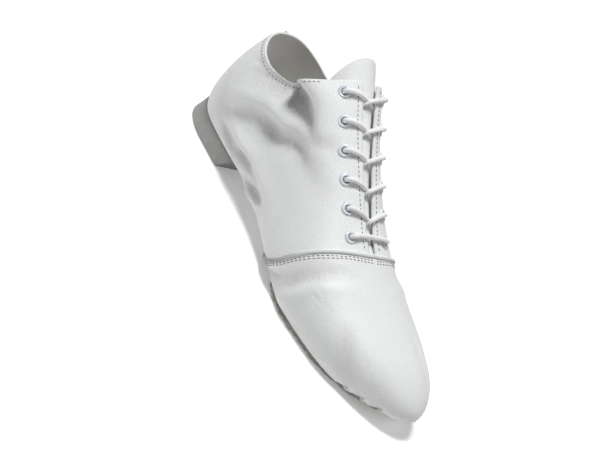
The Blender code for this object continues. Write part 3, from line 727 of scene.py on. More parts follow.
def tube_mesh(name, path, radius, sides, closed=False):
    """Round cord along a path in millimetres, with a UV map of length in millimetres and turn."""
    count = len(path)
    if closed:
        tangent = unit(np.roll(path, -1, axis=0) - np.roll(path, 1, axis=0))
    else:
        tangent = unit(np.gradient(path, axis=0))
    turns = np.arange(sides)[:, None] * 2 * np.pi / sides
    side = np.cross(tangent[0], (0.3, 0.2, 1.0))
    rings = []
    for middle, direction in zip(path, tangent):
        side = unit(side - direction * side.dot(direction))
        rings.append(middle + radius * (np.cos(turns) * side + np.sin(turns) * np.cross(direction, side)))
    length = np.r_[run_length(path), 0]
    length[-1] = length[-2] + 1
    faces, uvs = [], []
    for r in range(count if closed else count - 1):
        start, stop = length[r], length[r + 1]
        for i in range(sides):
            j, n = (i + 1) % sides, ((r + 1) % count) * sides
            faces.append((r * sides + i, r * sides + j, n + j, n + i))
            uvs += [(start, i / sides), (start, (i + 1) / sides), (stop, (i + 1) / sides), (stop, i / sides)]
    if not closed:
        faces += end_faces(count, sides)
        uvs += [(0.0, 0.5)] * sides + [(length[-2], 0.5)] * sides
    mesh = bpy.data.meshes.new(name)
    mesh.from_pydata(np.concatenate(rings) * MM, [], faces)
    layer = mesh.uv_layers.new(name="cord")
    layer.data.foreach_set("uv", np.asarray(uvs, np.float32).ravel())
    with opened(mesh) as shape:
        bmesh.ops.recalc_face_normals(shape, faces=shape.faces)
    mesh.shade_smooth()
    return mesh


# Repeated small pieces with Geometry Nodes


def node(tree, kind, links=None, **settings):
    """A node with its settings; links maps input names to sockets or values."""
    made = tree.nodes.new(kind)
    for key, value in settings.items():
        setattr(made, key, value)
    for key, value in (links or {}).items():
        socket = made.inputs[key]
        if isinstance(value, bpy.types.NodeSocket):
            tree.links.new(value, socket)
        else:
            socket.default_value = value
    return made


def named_vector(tree, name):
    return node(tree, "GeometryNodeInputNamedAttribute", {"Name": name}, data_type="FLOAT_VECTOR").outputs[0]


def scatter_tree(name, inputs, shape):
    """Tree that sets one shape on every point, turned to the point's own axes, as real mesh."""
    tree = bpy.data.node_groups.new(name, "GeometryNodeTree")
    tree.interface.new_socket("Points", in_out="INPUT", socket_type="NodeSocketGeometry")
    for key in inputs:
        tree.interface.new_socket(key, in_out="INPUT", socket_type="NodeSocketFloat")
    tree.interface.new_socket("Finish", in_out="INPUT", socket_type="NodeSocketMaterial")
    tree.interface.new_socket("Pieces", in_out="OUTPUT", socket_type="NodeSocketGeometry")
    given = tree.nodes.new("NodeGroupInput").outputs
    turn = node(
        tree,
        "FunctionNodeAxesToRotation",
        {0: named_vector(tree, "up"), 1: named_vector(tree, "along")},
        primary_axis="Z",
        secondary_axis="X",
    )
    placed_shapes = node(
        tree,
        "GeometryNodeInstanceOnPoints",
        {"Points": given["Points"], "Instance": shape(tree, given), "Rotation": turn.outputs[0]},
    )
    real = node(tree, "GeometryNodeRealizeInstances", {"Geometry": placed_shapes.outputs[0]})
    soft = node(tree, "GeometryNodeSetShadeSmooth", {"Geometry": real.outputs[0]})
    finished = node(
        tree, "GeometryNodeSetMaterial", {"Geometry": soft.outputs[0], "Material": given["Finish"]}
    )
    result = tree.nodes.new("NodeGroupOutput")
    tree.links.new(finished.outputs[0], result.inputs["Pieces"])
    return tree


def made_repeats(name, shape, values, finish, points, up, along, replaced=()):
    """Piece made of one shape on every given point, as a plain mesh."""
    tree = scatter_tree(name, tuple(values), shape)
    carrier = bpy.data.meshes.new(name + "_points")
    carrier.from_pydata(np.asarray(points) * MM, [], [])
    for key, vectors in (("up", up), ("along", along)):
        layer = carrier.attributes.new(key, "FLOAT_VECTOR", "POINT")
        layer.data.foreach_set("vector", np.asarray(vectors, np.float32).ravel())
    holder = bpy.data.objects.new(name + "_points", carrier)
    bpy.context.scene.collection.objects.link(holder)
    modifier = holder.modifiers.new("scatter", "NODES")
    modifier.node_group = tree
    given = {**values, "Finish": MATERIALS[finish]}
    for item in tree.interface.items_tree:
        if item.in_out == "INPUT" and item.name in given:
            modifier[item.identifier] = given[item.name]
    graph = bpy.context.evaluated_depsgraph_get()
    mesh = bpy.data.meshes.new_from_object(holder.evaluated_get(graph), depsgraph=graph)
    holder.modifiers.remove(modifier)
    bpy.data.objects.remove(holder)
    mesh.name = name
    made_piece(name, mesh, (), replaced)


def stretched(tree, geometry, x, y, z):
    size = node(tree, "ShaderNodeCombineXYZ", {0: x, 1: y, 2: z})
    moved = node(tree, "GeometryNodeTransform", {"Geometry": geometry, "Scale": size.outputs[0]})
    return moved.outputs[0]


def stitch_shape(tree, given):
    ball = node(tree, "GeometryNodeMeshUVSphere", {"Segments": 8, "Rings": 6, "Radius": 0.5})
    return stretched(tree, ball.outputs[0], given["Length"], given["Width"], given["Height"])


def ring_shape(tree, radius, bead, height, level):
    """Closed ring of round wire, drawn out to a height and set at a level."""
    ring = node(tree, "GeometryNodeCurvePrimitiveCircle", {"Resolution": 36, "Radius": radius})
    wire = node(tree, "GeometryNodeCurvePrimitiveCircle", {"Resolution": 12, "Radius": bead})
    rim = node(tree, "GeometryNodeCurveToMesh", {"Curve": ring.outputs[0], "Profile Curve": wire.outputs[0]})
    drawn = stretched(tree, rim.outputs[0], 1.0, 1.0, height)
    spot = node(tree, "ShaderNodeCombineXYZ", {2: level})
    moved = node(tree, "GeometryNodeTransform", {"Geometry": drawn, "Translation": spot.outputs[0]})
    return moved.outputs[0]


def eyelet_shape(tree, given):
    """Flange outside the leather and rolled edge inside."""
    flange = ring_shape(tree, given["Flange"], given["Flange bead"], given["Flatness"], 0.0)
    rolled = ring_shape(tree, given["Rolled edge"], given["Rolled bead"], 1.0, given["Rolled level"])
    parts = node(tree, "GeometryNodeJoinGeometry")
    for part in (flange, rolled):
        tree.links.new(part, parts.inputs[0])
    return parts.outputs[0]


def barrel_shape(tree, given):
    """Tube through the leather."""
    return ring_shape(tree, given["Radius"], given["Wall"], given["Height"], given["Level"])


def fibre_shape(tree, given):
    cone = node(
        tree,
        "GeometryNodeMeshCone",
        {"Vertices": 4, "Radius Top": 0.0, "Radius Bottom": given["Width"], "Depth": given["Length"]},
    )
    return cone.outputs[0]


# Materials


def group_sockets(tree, inputs, outputs):
    for key, kind, value in inputs:
        socket = tree.interface.new_socket(key, in_out="INPUT", socket_type="NodeSocket" + kind)
        if value is not None:
            socket.default_value = value
    for key, kind in outputs:
        tree.interface.new_socket(key, in_out="OUTPUT", socket_type="NodeSocket" + kind)
    return tree.nodes.new("NodeGroupInput").outputs, tree.nodes.new("NodeGroupOutput").inputs


def maths(tree, operation, *values):
    return node(tree, "ShaderNodeMath", dict(enumerate(values)), operation=operation).outputs[0]


def noise(tree, where, scale, detail, distortion=0.0):
    values = {"Vector": where, "Scale": scale, "Detail": detail, "Distortion": distortion}
    return node(tree, "ShaderNodeTexNoise", values).outputs


def diagonal_waves(tree, where, scale, distortion):
    values = {"Vector": where, "Scale": scale, "Distortion": distortion}
    return node(tree, "ShaderNodeTexWave", values, bands_direction="DIAGONAL").outputs["Fac"]


def ranged(tree, value, low, high, to_low, to_high):
    return node(tree, "ShaderNodeMapRange", {0: value, 1: low, 2: high, 3: to_low, 4: to_high}).outputs[0]


def grain_group():
    """Grain of leather or rubber: small cells, fine creases between them and cloudy patches."""
    tree = bpy.data.node_groups.new("surface_grain", "ShaderNodeTree")
    given, result = group_sockets(
        tree,
        [("Vector", "Vector", None), ("Cell", "Float", 900.0), ("Patch", "Float", 60.0)],
        [("Height", "Float"), ("Patches", "Float")],
    )
    where = given["Vector"]
    warp = noise(tree, where, 400.0, 2.0)["Color"]
    warped = node(tree, "ShaderNodeMix", {0: 0.0012, 4: where, 5: warp}, data_type="VECTOR").outputs[1]
    values = {"Vector": warped, "Scale": given["Cell"]}
    cells = node(tree, "ShaderNodeTexVoronoi", values, feature="SMOOTH_F1").outputs["Distance"]
    fine = noise(tree, where, 2600.0, 3.0)["Fac"]
    height = maths(tree, "MULTIPLY_ADD", fine, 0.35, maths(tree, "MULTIPLY", cells, 0.7))
    tree.links.new(height, result["Height"])
    tree.links.new(noise(tree, where, given["Patch"], 4.0)["Fac"], result["Patches"])
    return tree


def soil_group():
    """Soiling: a mask of smudges that is strongest where the given weight is high."""
    tree = bpy.data.node_groups.new("soiling", "ShaderNodeTree")
    given, result = group_sockets(
        tree,
        [("Vector", "Vector", None), ("Weight", "Float", 0.0), ("Scale", "Float", 120.0)],
        [("Mask", "Float")],
    )
    smudge = noise(tree, given["Vector"], given["Scale"], 6.0)["Fac"]
    spread = ranged(tree, smudge, 0.38, 0.72, 0.0, 1.0)
    tree.links.new(maths(tree, "MULTIPLY", spread, given["Weight"]), result["Mask"])
    return tree


def group_node(tree, group, **links):
    return node(tree, "ShaderNodeGroup", links, node_tree=group).outputs


def new_material(name, roughness, **constants):
    material = bpy.data.materials.new(name)
    material.use_nodes = True
    shader = material.node_tree.nodes["Principled BSDF"]
    shader.inputs["Roughness"].default_value = roughness
    for key, value in constants.items():
        shader.inputs[key.replace("_", " ")].default_value = value
    return material, material.node_tree, shader


def object_coordinates(tree):
    return tree.nodes.new("ShaderNodeTexCoord").outputs["Object"]


def attribute(tree, name):
    return node(tree, "ShaderNodeAttribute", attribute_name=name).outputs["Fac"]


def layered(tree, first, *layers):
    """Colour with others laid over it, each by its own share."""
    for share, colour in layers:
        first = node(tree, "ShaderNodeMix", {0: share, 6: first, 7: colour}, data_type="RGBA").outputs[2]
    return first


def feed(tree, shader, **sockets):
    """Links what changes over the surface to the shader."""
    for key, value in sockets.items():
        tree.links.new(value, shader.inputs[key.replace("_", " ")])


def bumped(tree, shader, height, strength, distance):
    values = {"Height": height, "Strength": strength, "Distance": distance * MM}
    feed(tree, shader, Normal=node(tree, "ShaderNodeBump", values).outputs[0])


def opaque(colour, factor=1.0):
    return (*(channel * factor for channel in colour), 1.0)


def leather_material(groups):
    """White leather: pores and clouds, painted shade and crumples in its creases, soiled low down."""
    material, tree, shader = new_material("white_leather", 0.45, Specular_IOR_Level=0.42)
    where, trough, white = object_coordinates(tree), attribute(tree, "trough"), colours().leather
    grain = group_node(tree, groups["grain"], Vector=where, Cell=1250.0, Patch=45.0)
    soil = group_node(tree, groups["soil"], Vector=where, Weight=attribute(tree, "low"), Scale=130.0)
    colour = layered(
        tree,
        opaque(white),
        (ranged(tree, grain["Height"], 0.2, 0.6, 0.0, 0.28), opaque(white, 0.7)),
        (ranged(tree, grain["Patches"], 0.35, 0.7, 0.0, 0.35), opaque(white, 0.95)),
        # Painted shade: the deeper a point lies in a trough, the closer it comes to the crease colour
        (ranged(tree, trough, 0.05, 1.0, 0.0, 0.8), opaque(colours().crease)),
        (soil["Mask"], opaque(colours().soil)),
    )
    feed(tree, shader, Base_Color=colour, Roughness=ranged(tree, grain["Patches"], 0.3, 0.7, 0.39, 0.52))
    values = {"Vector": where, "Rotation": (0.0, -0.71, 0.0), "Scale": (1.0, 1.0, 3.0)}
    drawn_out = node(tree, "ShaderNodeMapping", values, vector_type="TEXTURE").outputs[0]
    crumple = noise(tree, drawn_out, 330.0, 3.0, 0.6)["Fac"]
    deep = ranged(tree, trough, 0.02, 0.5, 0.3, 6.0)
    bumped(tree, shader, maths(tree, "MULTIPLY_ADD", crumple, deep, grain["Height"]), 0.7, 0.35)
    return material


def lining_material(groups):
    material, tree, shader = new_material("white_lining", 0.8, Sheen_Weight=0.15)
    where, white = object_coordinates(tree), colours().lining
    soil = group_node(tree, groups["soil"], Vector=where, Weight=0.35, Scale=60.0)
    feed(tree, shader, Base_Color=layered(tree, opaque(white), (soil["Mask"], opaque(white, 0.82))))
    bumped(tree, shader, diagonal_waves(tree, where, 420.0, 1.5), 0.25, 0.15)
    return material


def suede_material(groups):
    material, tree, shader = new_material("sole_suede", 0.95, Sheen_Weight=0.3)
    where, grey = object_coordinates(tree), colours().suede
    nap = noise(tree, where, 1500.0, 5.0)["Fac"]
    soil = group_node(tree, groups["soil"], Vector=where, Weight=0.8, Scale=90.0)
    colour = layered(
        tree,
        opaque(grey, 0.75),
        (ranged(tree, nap, 0.3, 0.7, 0.0, 1.0), opaque(grey, 1.3)),
        (soil["Mask"], opaque(grey, 0.5)),
    )
    feed(tree, shader, Base_Color=colour)
    bumped(tree, shader, nap, 0.7, 0.5)
    return material


def rubber_material(groups):
    """Cut rubber: fine upright lines on the sides, mottled and dusty."""
    material, tree, shader = new_material("heel_rubber", 0.62)
    where, grey = object_coordinates(tree), colours().rubber
    upright = node(tree, "ShaderNodeMapping", {"Vector": where, "Scale": (1.0, 1.0, 0.06)}).outputs[0]
    lines = noise(tree, upright, 1300.0, 4.0)["Fac"]
    grain = group_node(tree, groups["grain"], Vector=where, Cell=1400.0, Patch=150.0)
    colour = layered(
        tree,
        opaque(grey, 0.9),
        (ranged(tree, lines, 0.3, 0.72, 0.0, 1.0), opaque(grey, 1.1)),
        (ranged(tree, grain["Patches"], 0.45, 0.75, 0.0, 0.4), opaque(grey, 1.35)),
    )
    feed(tree, shader, Base_Color=colour, Roughness=ranged(tree, grain["Patches"], 0.3, 0.7, 0.55, 0.75))
    bumped(tree, shader, maths(tree, "ADD", lines, grain["Height"]), 0.5, 0.25)
    return material


def eyelet_material(groups, name, colour, roughness, **constants):
    material, tree, shader = new_material(name, roughness, **constants)
    soil = group_node(tree, groups["soil"], Vector=object_coordinates(tree), Weight=0.35, Scale=300.0)
    feed(tree, shader, Base_Color=layered(tree, opaque(colour), (soil["Mask"], opaque(colour, 0.7))))
    return material


def braid_height(tree, pitch, strands):
    """Height of a round braid from the cord's own length and turn."""
    uv = node(tree, "ShaderNodeUVMap", uv_map="cord").outputs[0]
    length, turn = node(tree, "ShaderNodeSeparateXYZ", {0: uv}).outputs[:2]
    along = maths(tree, "MULTIPLY", length, 2 * math.pi / pitch)
    sheets = []
    for direction in (1.0, -1.0):
        phase = maths(tree, "MULTIPLY_ADD", turn, direction * 2 * math.pi * strands, along)
        sheets.append(maths(tree, "SINE", phase))
    return ranged(tree, maths(tree, "MULTIPLY", *sheets), -1.0, 1.0, 0.0, 1.0)


def cord_material(name, colour, pitch, strands, groove_shade):
    material, tree, shader = new_material(name, 0.85, Sheen_Weight=0.2)
    braid = braid_height(tree, pitch, strands)
    # Painted shade: the cord is darker in the grooves of its braid
    feed(tree, shader, Base_Color=layered(tree, opaque(colour, groove_shade), (braid, opaque(colour))))
    bumped(tree, shader, braid, 0.6, 0.25)
    return material


def piping_material():
    """Light grey piping, painted darker where it runs under the arch and up the heel: painted shade and
    grime.
    """
    material, tree, shader = new_material("piping_leather", 0.6)
    grey = colours().piping
    x, _, z = node(tree, "ShaderNodeSeparateXYZ", {0: object_coordinates(tree)}).outputs
    # Painted shade and grime: darker towards the floor and at the back of the heel
    low = ranged(tree, z, 0.034, 0.012, 0.0, 0.75)
    back = ranged(tree, x, -0.09, -0.105, 0.0, 0.8)
    braid = braid_height(tree, 1.5, 2)
    colour = layered(
        tree,
        opaque(grey, 0.78),
        # Painted shade between the braid's strands and painted highlight on them
        (braid, opaque(grey, 1.1)),
        (maths(tree, "MAXIMUM", low, back), opaque(grey, 0.3)),
    )
    feed(tree, shader, Base_Color=colour)
    bumped(tree, shader, braid, 0.5, 0.2)
    return material


def thread_material(name, colour, roughness):
    material, tree, shader = new_material(name, roughness)
    twist = diagonal_waves(tree, object_coordinates(tree), 900.0, 2.0)
    # Painted shade in the grooves of the thread's twist
    feed(tree, shader, Base_Color=layered(tree, opaque(colour, 0.85), (twist, opaque(colour))))
    bumped(tree, shader, twist, 0.4, 0.08)
    return material


MATERIALS = {}


# Operators, one for each group of pieces


class JAZZSHOE_OT_materials(bpy.types.Operator):
    """Makes the leather, suede, rubber, enamel, cord and thread"""

    bl_idname = "jazz_shoe.materials"
    bl_label = "Materials"

    def execute(self, context):
        groups = {"grain": grain_group(), "soil": soil_group()}
        enamel, barrel = colours().enamel, colours().barrel
        MATERIALS.update(
            leather=leather_material(groups),
            lining=lining_material(groups),
            suede=suede_material(groups),
            rubber=rubber_material(groups),
            enamel=eyelet_material(groups, "white_enamel", enamel, 0.22, Coat_Weight=0.4, Coat_Roughness=0.1),
            # The barrels' near black stands in for the shade in the bores: painted shade
            barrel=eyelet_material(groups, "dark_barrel", barrel, 0.5, Metallic=0.5),
            piping=piping_material(),
            cord=cord_material("white_cord", colours().cord, 2.2, 4, 0.84),
            thread=thread_material("grey_thread", colours().thread, 0.6),
        )
        return {"FINISHED"}


def row_place(climb):
    """Places of all rows at a climb, closer together round both ends, with one row along the seam."""
    seam = seam_place(climb)
    rear = np.linspace(0, 1, REAR_ROWS + 1)
    rear = mix(rear, rear**2, HEEL_CROWDING * (1 - rear))
    front = 1 - (1 - np.linspace(0, 1, FRONT_ROWS + 1)) ** TOE_CROWDING
    return np.concatenate([seam * rear, mix(seam, LENGTH, front[1:])])


def open_share(place):
    """How far in from the feather edge the lasting margin ends, 1 where the underside is closed."""
    s = section_at(place)
    inward = np.ones_like(place)
    for start, end in (HEEL_HOLE, TOE_HOLE):
        ends = rounded_end(place - start, HOLE_ROUNDING, 2) * rounded_end(end - place, HOLE_ROUNDING, 2)
        width = np.maximum(s.feather_half - LASTING_MARGIN, 0) / np.maximum(s.feather_half, 0.1)
        inside = (place > start) & (place < end)
        inward = np.where(inside, 1 - width * ends, inward)
    return inward


def upper_side(side):
    """Points, places and climbs of one side of the upper as a grid: underside columns, then the wall."""
    low = np.linspace(0, GIRTH_SHARE, LOW_COLUMNS, endpoint=False)
    climbs = np.concatenate([low, np.linspace(GIRTH_SHARE, 1, HIGH_COLUMNS + 1)])
    foot = row_place(0.0)
    margin = open_share(foot)
    inward = [np.ones_like(foot)] + [margin * (1 - k / MARGIN_COLUMNS) for k in range(MARGIN_COLUMNS)]
    columns = [floor_point(foot, side, share) for share in inward]
    places = [foot] * len(columns)
    for climb in climbs:
        place = row_place(climb)
        columns.append(wall_point(place, np.full_like(place, side), np.full_like(place, climb)))
        places.append(place)
    climbs = np.concatenate([np.zeros(len(inward)), climbs])
    return np.stack(columns, axis=1), np.stack(places, axis=1), np.tile(climbs, (len(foot), 1))


def kept_cells(grid, foot):
    """Cells of one side's grid, without those of the open underside and of the eyelets' holes."""
    keep = np.ones((len(grid) - 1, grid.shape[1] - 1), bool)
    closed = open_share(foot) > 0.999
    keep[:, 0] = closed[:-1] & closed[1:]
    middles = (grid[:-1, :-1] + grid[1:, :-1] + grid[:-1, 1:] + grid[1:, 1:]) / 4
    for middle, axis in zip(*eyelet_axes()):
        apart = middles - middle
        aside = np.linalg.norm(apart - (apart @ axis)[..., None] * axis, axis=-1)
        keep &= (aside > EYELET_HOLE) | (np.linalg.norm(apart, axis=-1) > 2 * EYELET_HOLE)
    return keep


class JAZZSHOE_OT_upper(bpy.types.Operator):
    """Makes the creased leather upper with its lining"""

    bl_idname = "jazz_shoe.upper"
    bl_label = "Upper"

    def execute(self, context):
        points, faces, trough, low = [], [], [], []
        for side in SIDES:
            base, place, climb = upper_side(side)
            rows, columns = place.shape
            height, dip = relief(base, place, climb)
            height = height.reshape(rows, columns)
            height[:, : MARGIN_COLUMNS + 1] = 0.0
            grid = base + wall_normal(place, np.full_like(place, side), climb) * height[..., None]
            rise = np.maximum(base[..., 2] - base[:, MARGIN_COLUMNS + 1, None, 2], 0)
            toe = smooth((place - TOE_SOIL_START) / TOE_SOIL_LENGTH)
            low.append((np.exp(-rise / mix(*SOIL_HEIGHTS, toe)) * mix(*SOIL_WEIGHTS, toe)).ravel())
            keep = kept_cells(grid, place[:, 0])
            faces.append(grid_cells(rows, columns, len(points) * rows * columns, keep))
            points.append(grid.reshape(-1, 3))
            trough.append(dip)
        layers = {"trough": np.concatenate(trough), "low": np.concatenate(low)}
        mesh = mesh_of("upper_leather", np.concatenate(points), np.concatenate(faces), layers)
        even_facets(mesh)
        made_wall("upper_leather", mesh, WALL, ["upper"], even=True)
        return {"FINISHED"}


class JAZZSHOE_OT_tongue(bpy.types.Operator):
    """Makes the tongue under the lace"""

    bl_idname = "jazz_shoe.tongue"
    bl_label = "Tongue"

    def execute(self, context):
        share = np.linspace(0, 1, TONGUE_ROWS)[:, None]
        place = mix(TONGUE_FRONT, TONGUE_TOP, 1 - (1 - share) ** TONGUE_CROWDING)
        s = section_at(place)
        free = smooth((THROAT_BASE + TONGUE_HELD - place) / TONGUE_EASE)
        sink = WALL + SEAT_GAP + TONGUE_SINK * free
        ends = rounded_end(place - TONGUE_TOP + TONGUE_END, TONGUE_ROUNDING, TONGUE_SHARPNESS)
        across = np.linspace(-1, 1, TONGUE_COLUMNS)
        y = mix(TONGUE_HALF_FRONT, TONGUE_HALF_TOP, share) * ends * across
        arc = np.maximum(1 - np.abs(y / (s.half_width - sink)) ** s.fullness, 0)
        z = s.widest + (s.crest - s.widest - sink) * arc ** (1 / s.fullness)
        wave = TONGUE_WAVE * np.sin(place / TONGUE_WAVE_STEP) * np.cos(across * TONGUE_WAVE_TURN)
        swell = TONGUE_SWELL * np.exp(-((y / (throat_gap(place) + TONGUE_SWELL_SPARE)) ** 2))
        points = placed(place, s.centre + y, z + (wave + swell) * free).reshape(-1, 3)
        plain = np.zeros(len(points))
        cells = grid_cells(TONGUE_ROWS, TONGUE_COLUMNS)
        mesh = mesh_of("tongue_leather", points, cells, {"trough": plain, "low": plain})
        made_wall("tongue_leather", mesh, TONGUE_WALL, ["tongue"])
        return {"FINISHED"}


def foot_rows(start, end, count):
    turn = (1 - np.cos(np.linspace(0, np.pi, count))) / 2
    return mix(start + 0.02, end - 0.02, turn)


def pad_rows(pad):
    """Places along a pad under the foot and its half width at each, as in the part's solids."""
    place = foot_rows(pad.back, pad.front, pad.rows)
    from_heel = np.maximum(0, 1 - (place - pad.back) / HEEL_INSET_REACH)
    to_toe = smooth(1 - (pad.front - place) / TOE_INSET_REACH)
    half = section_at(place - pad.heel_inset * from_heel + pad.toe_inset * to_toe).feather_half
    return place, np.maximum(half + pad.spare, half / 2) * rounded_end(place - pad.back, pad.round_back, 2)


class JAZZSHOE_OT_insole(bpy.types.Operator):
    """Makes the insole"""

    bl_idname = "jazz_shoe.insole"
    bl_label = "Insole"

    def execute(self, context):
        across = np.linspace(-1, 1, INSOLE.columns)
        thickness = INSOLE_THICKNESS - INSOLE_ROUNDING * np.abs(across) ** 6
        rings = []
        for place, half in zip(*pad_rows(INSOLE)):
            s = section_at(place)
            y = half * across
            under = seat_height(s, y) + WALL + SEAT_GAP
            top, low = (placed(place, s.centre + y, z) for z in (under + thickness, under))
            rings.append(np.concatenate([top, low[::-1]]))
        mesh = ring_mesh("insole_lining", rings)
        made_piece("insole_lining", mesh, (MATERIALS["lining"],), ["insole"])
        return {"FINISHED"}


def ragged(place, side):
    """Uneven edge of the cut suede, in millimetres."""
    draw = np.random.default_rng(11 + (side > 0))
    return sum(size * np.sin(place / length + draw.uniform(0, 6.3)) for length, size in SUEDE_WAVES)


class JAZZSHOE_OT_forefoot_sole(bpy.types.Operator):
    """Makes the suede pad with its frayed edge"""

    bl_idname = "jazz_shoe.forefoot_sole"
    bl_label = "Forefoot sole"

    def execute(self, context):
        across = np.linspace(-1, 1, FOREFOOT.columns)[1:-1]
        rings, edges, out = [], [], []
        for place, half in zip(*pad_rows(FOREFOOT)):
            s = section_at(place)
            y = half * across
            seat = seat_height(s, y)
            tread = placed(place, s.centre + y, np.maximum(seat - SUEDE_THICKNESS, 0.0))
            top = placed(place, s.centre + y, seat - SUEDE_SEAT)
            inner, outer = (self.cut_edge(s, place, half, side) for side in (INNER, OUTER))
            rings.append(np.concatenate([tread, inner, top[::-1], outer[::-1]]))
            edges += [inner[2], outer[2]]
            out += [(0.0, INNER, FIBRE_DROP), (0.0, OUTER, FIBRE_DROP)]
        mesh = ring_mesh("forefoot_suede", rings)
        made_piece("forefoot_suede", mesh, (MATERIALS["suede"],), ["forefoot_sole"])
        self.fray(np.array(edges), np.array(out))
        return {"FINISHED"}

    def cut_edge(self, s, place, half, side):
        """Points up the edge from the tread to the leather."""
        share, out = np.array(SUEDE_EDGE).T
        ease = min(half / SUEDE_EASE, 1)
        rough = ragged(place + share * SUEDE_SLANT, side) * ease
        y = side * np.maximum(half + (out + rough) * ease, SUEDE_LEAST)
        seat = seat_height(s, y)
        z = mix(np.maximum(seat - SUEDE_THICKNESS, 0.0), seat - SUEDE_SEAT, share)
        return placed(place, s.centre + y, z)

    def fray(self, points, out):
        """Loose fibres along the cut edge."""
        draw = np.random.default_rng(5)
        pick = draw.choice(len(points), FIBRES)
        spots = points[pick] + draw.normal(0, FIBRE_STRAY, (FIBRES, 3)) * (1, 0.2, 1)
        up = out[pick] + draw.normal(0, FIBRE_TURN, (FIBRES, 3))
        spots[:, 2] = np.maximum(spots[:, 2], FIBRE_LOWEST)
        up[:, 2] = np.maximum(up[:, 2], FIBRE_LEAST_UP)
        up = unit(up)
        along = np.cross(up, (0.1, 0.2, 1.0))
        values = {"Length": FIBRE_LENGTH * MM, "Width": FIBRE_WIDTH * MM}
        made_repeats("suede_fibres", fibre_shape, values, "suede", spots, up, along)


class JAZZSHOE_OT_heel(bpy.types.Operator):
    """Makes the low rubber heel"""

    bl_idname = "jazz_shoe.heel"
    bl_label = "Heel"

    def execute(self, context):
        places = foot_rows(HEEL_BACK_TOP, HEEL_FRONT_TOP, HEEL_ROWS)
        share = (places - HEEL_BACK_TOP) / (HEEL_FRONT_TOP - HEEL_BACK_TOP)
        bases = mix(HEEL_BACK_BASE, HEEL_FRONT_BASE, share)
        rounding = 1 - rounded_end(HEEL_FRONT_TOP - places, HEEL_CORNER, 2)
        halves = section_at(places - HEEL_BACK_TOP).feather_half - HEEL_CORNER * rounding
        across = np.linspace(-1, 1, HEEL_COLUMNS)[1:-1]
        rings = []
        for place, base, half in zip(places, bases, halves):
            s = section_at(place)
            y = half * across
            tread = in_frame(base, s.centre + y * HEEL_TREAD, 0.0)
            top = in_frame(place, s.centre + y, seat_height(s, y) - HEEL_SEAT)
            inner, outer = (self.side_wall(s, place, base, half, side) for side in (INNER, OUTER))
            rings.append(np.concatenate([tread, inner, top[::-1], outer[::-1]]))
        mesh = ring_mesh("heel_block", rings)
        mesh.set_sharp_from_angle(angle=math.radians(HEEL_SHARP))
        made_piece("heel_block", mesh, (MATERIALS["rubber"],), ["heel"])
        return {"FINISHED"}

    def side_wall(self, s, place, base, half, side):
        """Points up the side from the tread to the leather."""
        rise, out = np.array(HEEL_SIDE).T
        y = side * np.maximum(half + HEEL_FLARE * out, HEEL_LEAST)
        z = (seat_height(s, y) - HEEL_SEAT) * rise
        return in_frame(mix(base, place, rise), s.centre + y, z)


class JAZZSHOE_OT_piping(bpy.types.Operator):
    """Makes the raised seams"""

    bl_idname = "jazz_shoe.piping"
    bl_label = "Piping"

    def execute(self, context):
        radius = sizes().piping_radius
        for name, solid, line, closed in (
            ("vamp_seam_piping", "vamp_piping", self.round_foot(radius), True),
            ("back_seam_piping", "back_piping", self.up_back(radius), False),
        ):
            mesh = tube_mesh(name, smooth_path(line, PIPING_STEP), radius, PIPING_SIDES, closed)
            made_piece(name, mesh, (MATERIALS["piping"],), [solid])
        return {"FINISHED"}

    def round_foot(self, radius):
        """Up the outer side, down the inner one and back under the foot."""
        climbs = np.linspace(0.0, 1.0, 90)
        proud = radius * PIPING_PROUD
        outer, inner = (on_leather(seam_place(climbs), side, climbs, proud)[0] for side in SIDES)
        foot = float(seam_place(0.0))
        shares = np.arange(1, 21) / 20
        under = [floor_point(foot, INNER, share) for share in shares]
        under += [floor_point(foot, OUTER, share) for share in shares[-2::-1]]
        return np.concatenate([outer, inner[::-1][1:], np.array(under) - (0, 0, proud)])

    def up_back(self, radius):
        """Up the back of the heel, coming out of the leather at its foot."""
        top = float(wall_point(0.0, OUTER, 1.0)[2])
        heights = np.linspace(BEAD_START, top - BEAD_TOP_GAP, 60)
        none = np.zeros_like(heights)
        slope = np.gradient(back_lean(heights), heights)
        out = unit(np.stack([none - 1, none, slope], axis=1))
        grow = smooth((heights - BEAD_FOOT) / BEAD_RISE)
        grow = grow * mix(BEAD_TOP_KEEP, 1.0, smooth((top - heights) / BEAD_TOP_EASE))
        return placed(none, none, heights) + out * radius * mix(BEAD_SUNK, BEAD_PROUD, grow)[:, None]


def stitch_row(place, side, climb):
    """Evenly spaced stitches along a line on the leather: points, normals and directions."""
    points, normals = on_leather(place, side, climb, STITCH_LIFT)
    length = run_length(points)
    pitch, step = sizes().stitch_pitch, 0.3
    even = np.arange(0.5, length[-1] / pitch - 0.2) * pitch
    along = read_along(even + step, length, points) - read_along(even - step, length, points)
    return read_along(even, length, points), read_along(even, length, normals), unit(along)


class JAZZSHOE_OT_stitches(bpy.types.Operator):
    """Sews the vamp seam, the facings and the collar"""

    bl_idname = "jazz_shoe.stitches"
    bl_label = "Stitches"

    def execute(self, context):
        rows = []
        climbs = np.linspace(*SEAM_ENDS, 160)
        facing = np.linspace(*FACING_ENDS, 130)
        collar = COLLAR_END * np.linspace(1.0, 0.03, 110) ** 2
        for side in SIDES:
            rows += [stitch_row(seam_place(climbs) + ahead, side, climbs) for ahead in SEAM_ROWS]
            for line, inset in ((facing, FACING_ROW), (collar, COLLAR_ROW)):
                below = np.array([inset_climb(place, side, inset) for place in line])
                rows.append(stitch_row(line, side, below))
        spots, up, along = (np.concatenate(column) for column in zip(*rows))
        s = sizes()
        values = {"Length": s.stitch_length * MM, "Width": s.stitch_width * MM, "Height": STITCH_HEIGHT * MM}
        made_repeats("stitches", stitch_shape, values, "thread", spots, up, along)
        return {"FINISHED"}


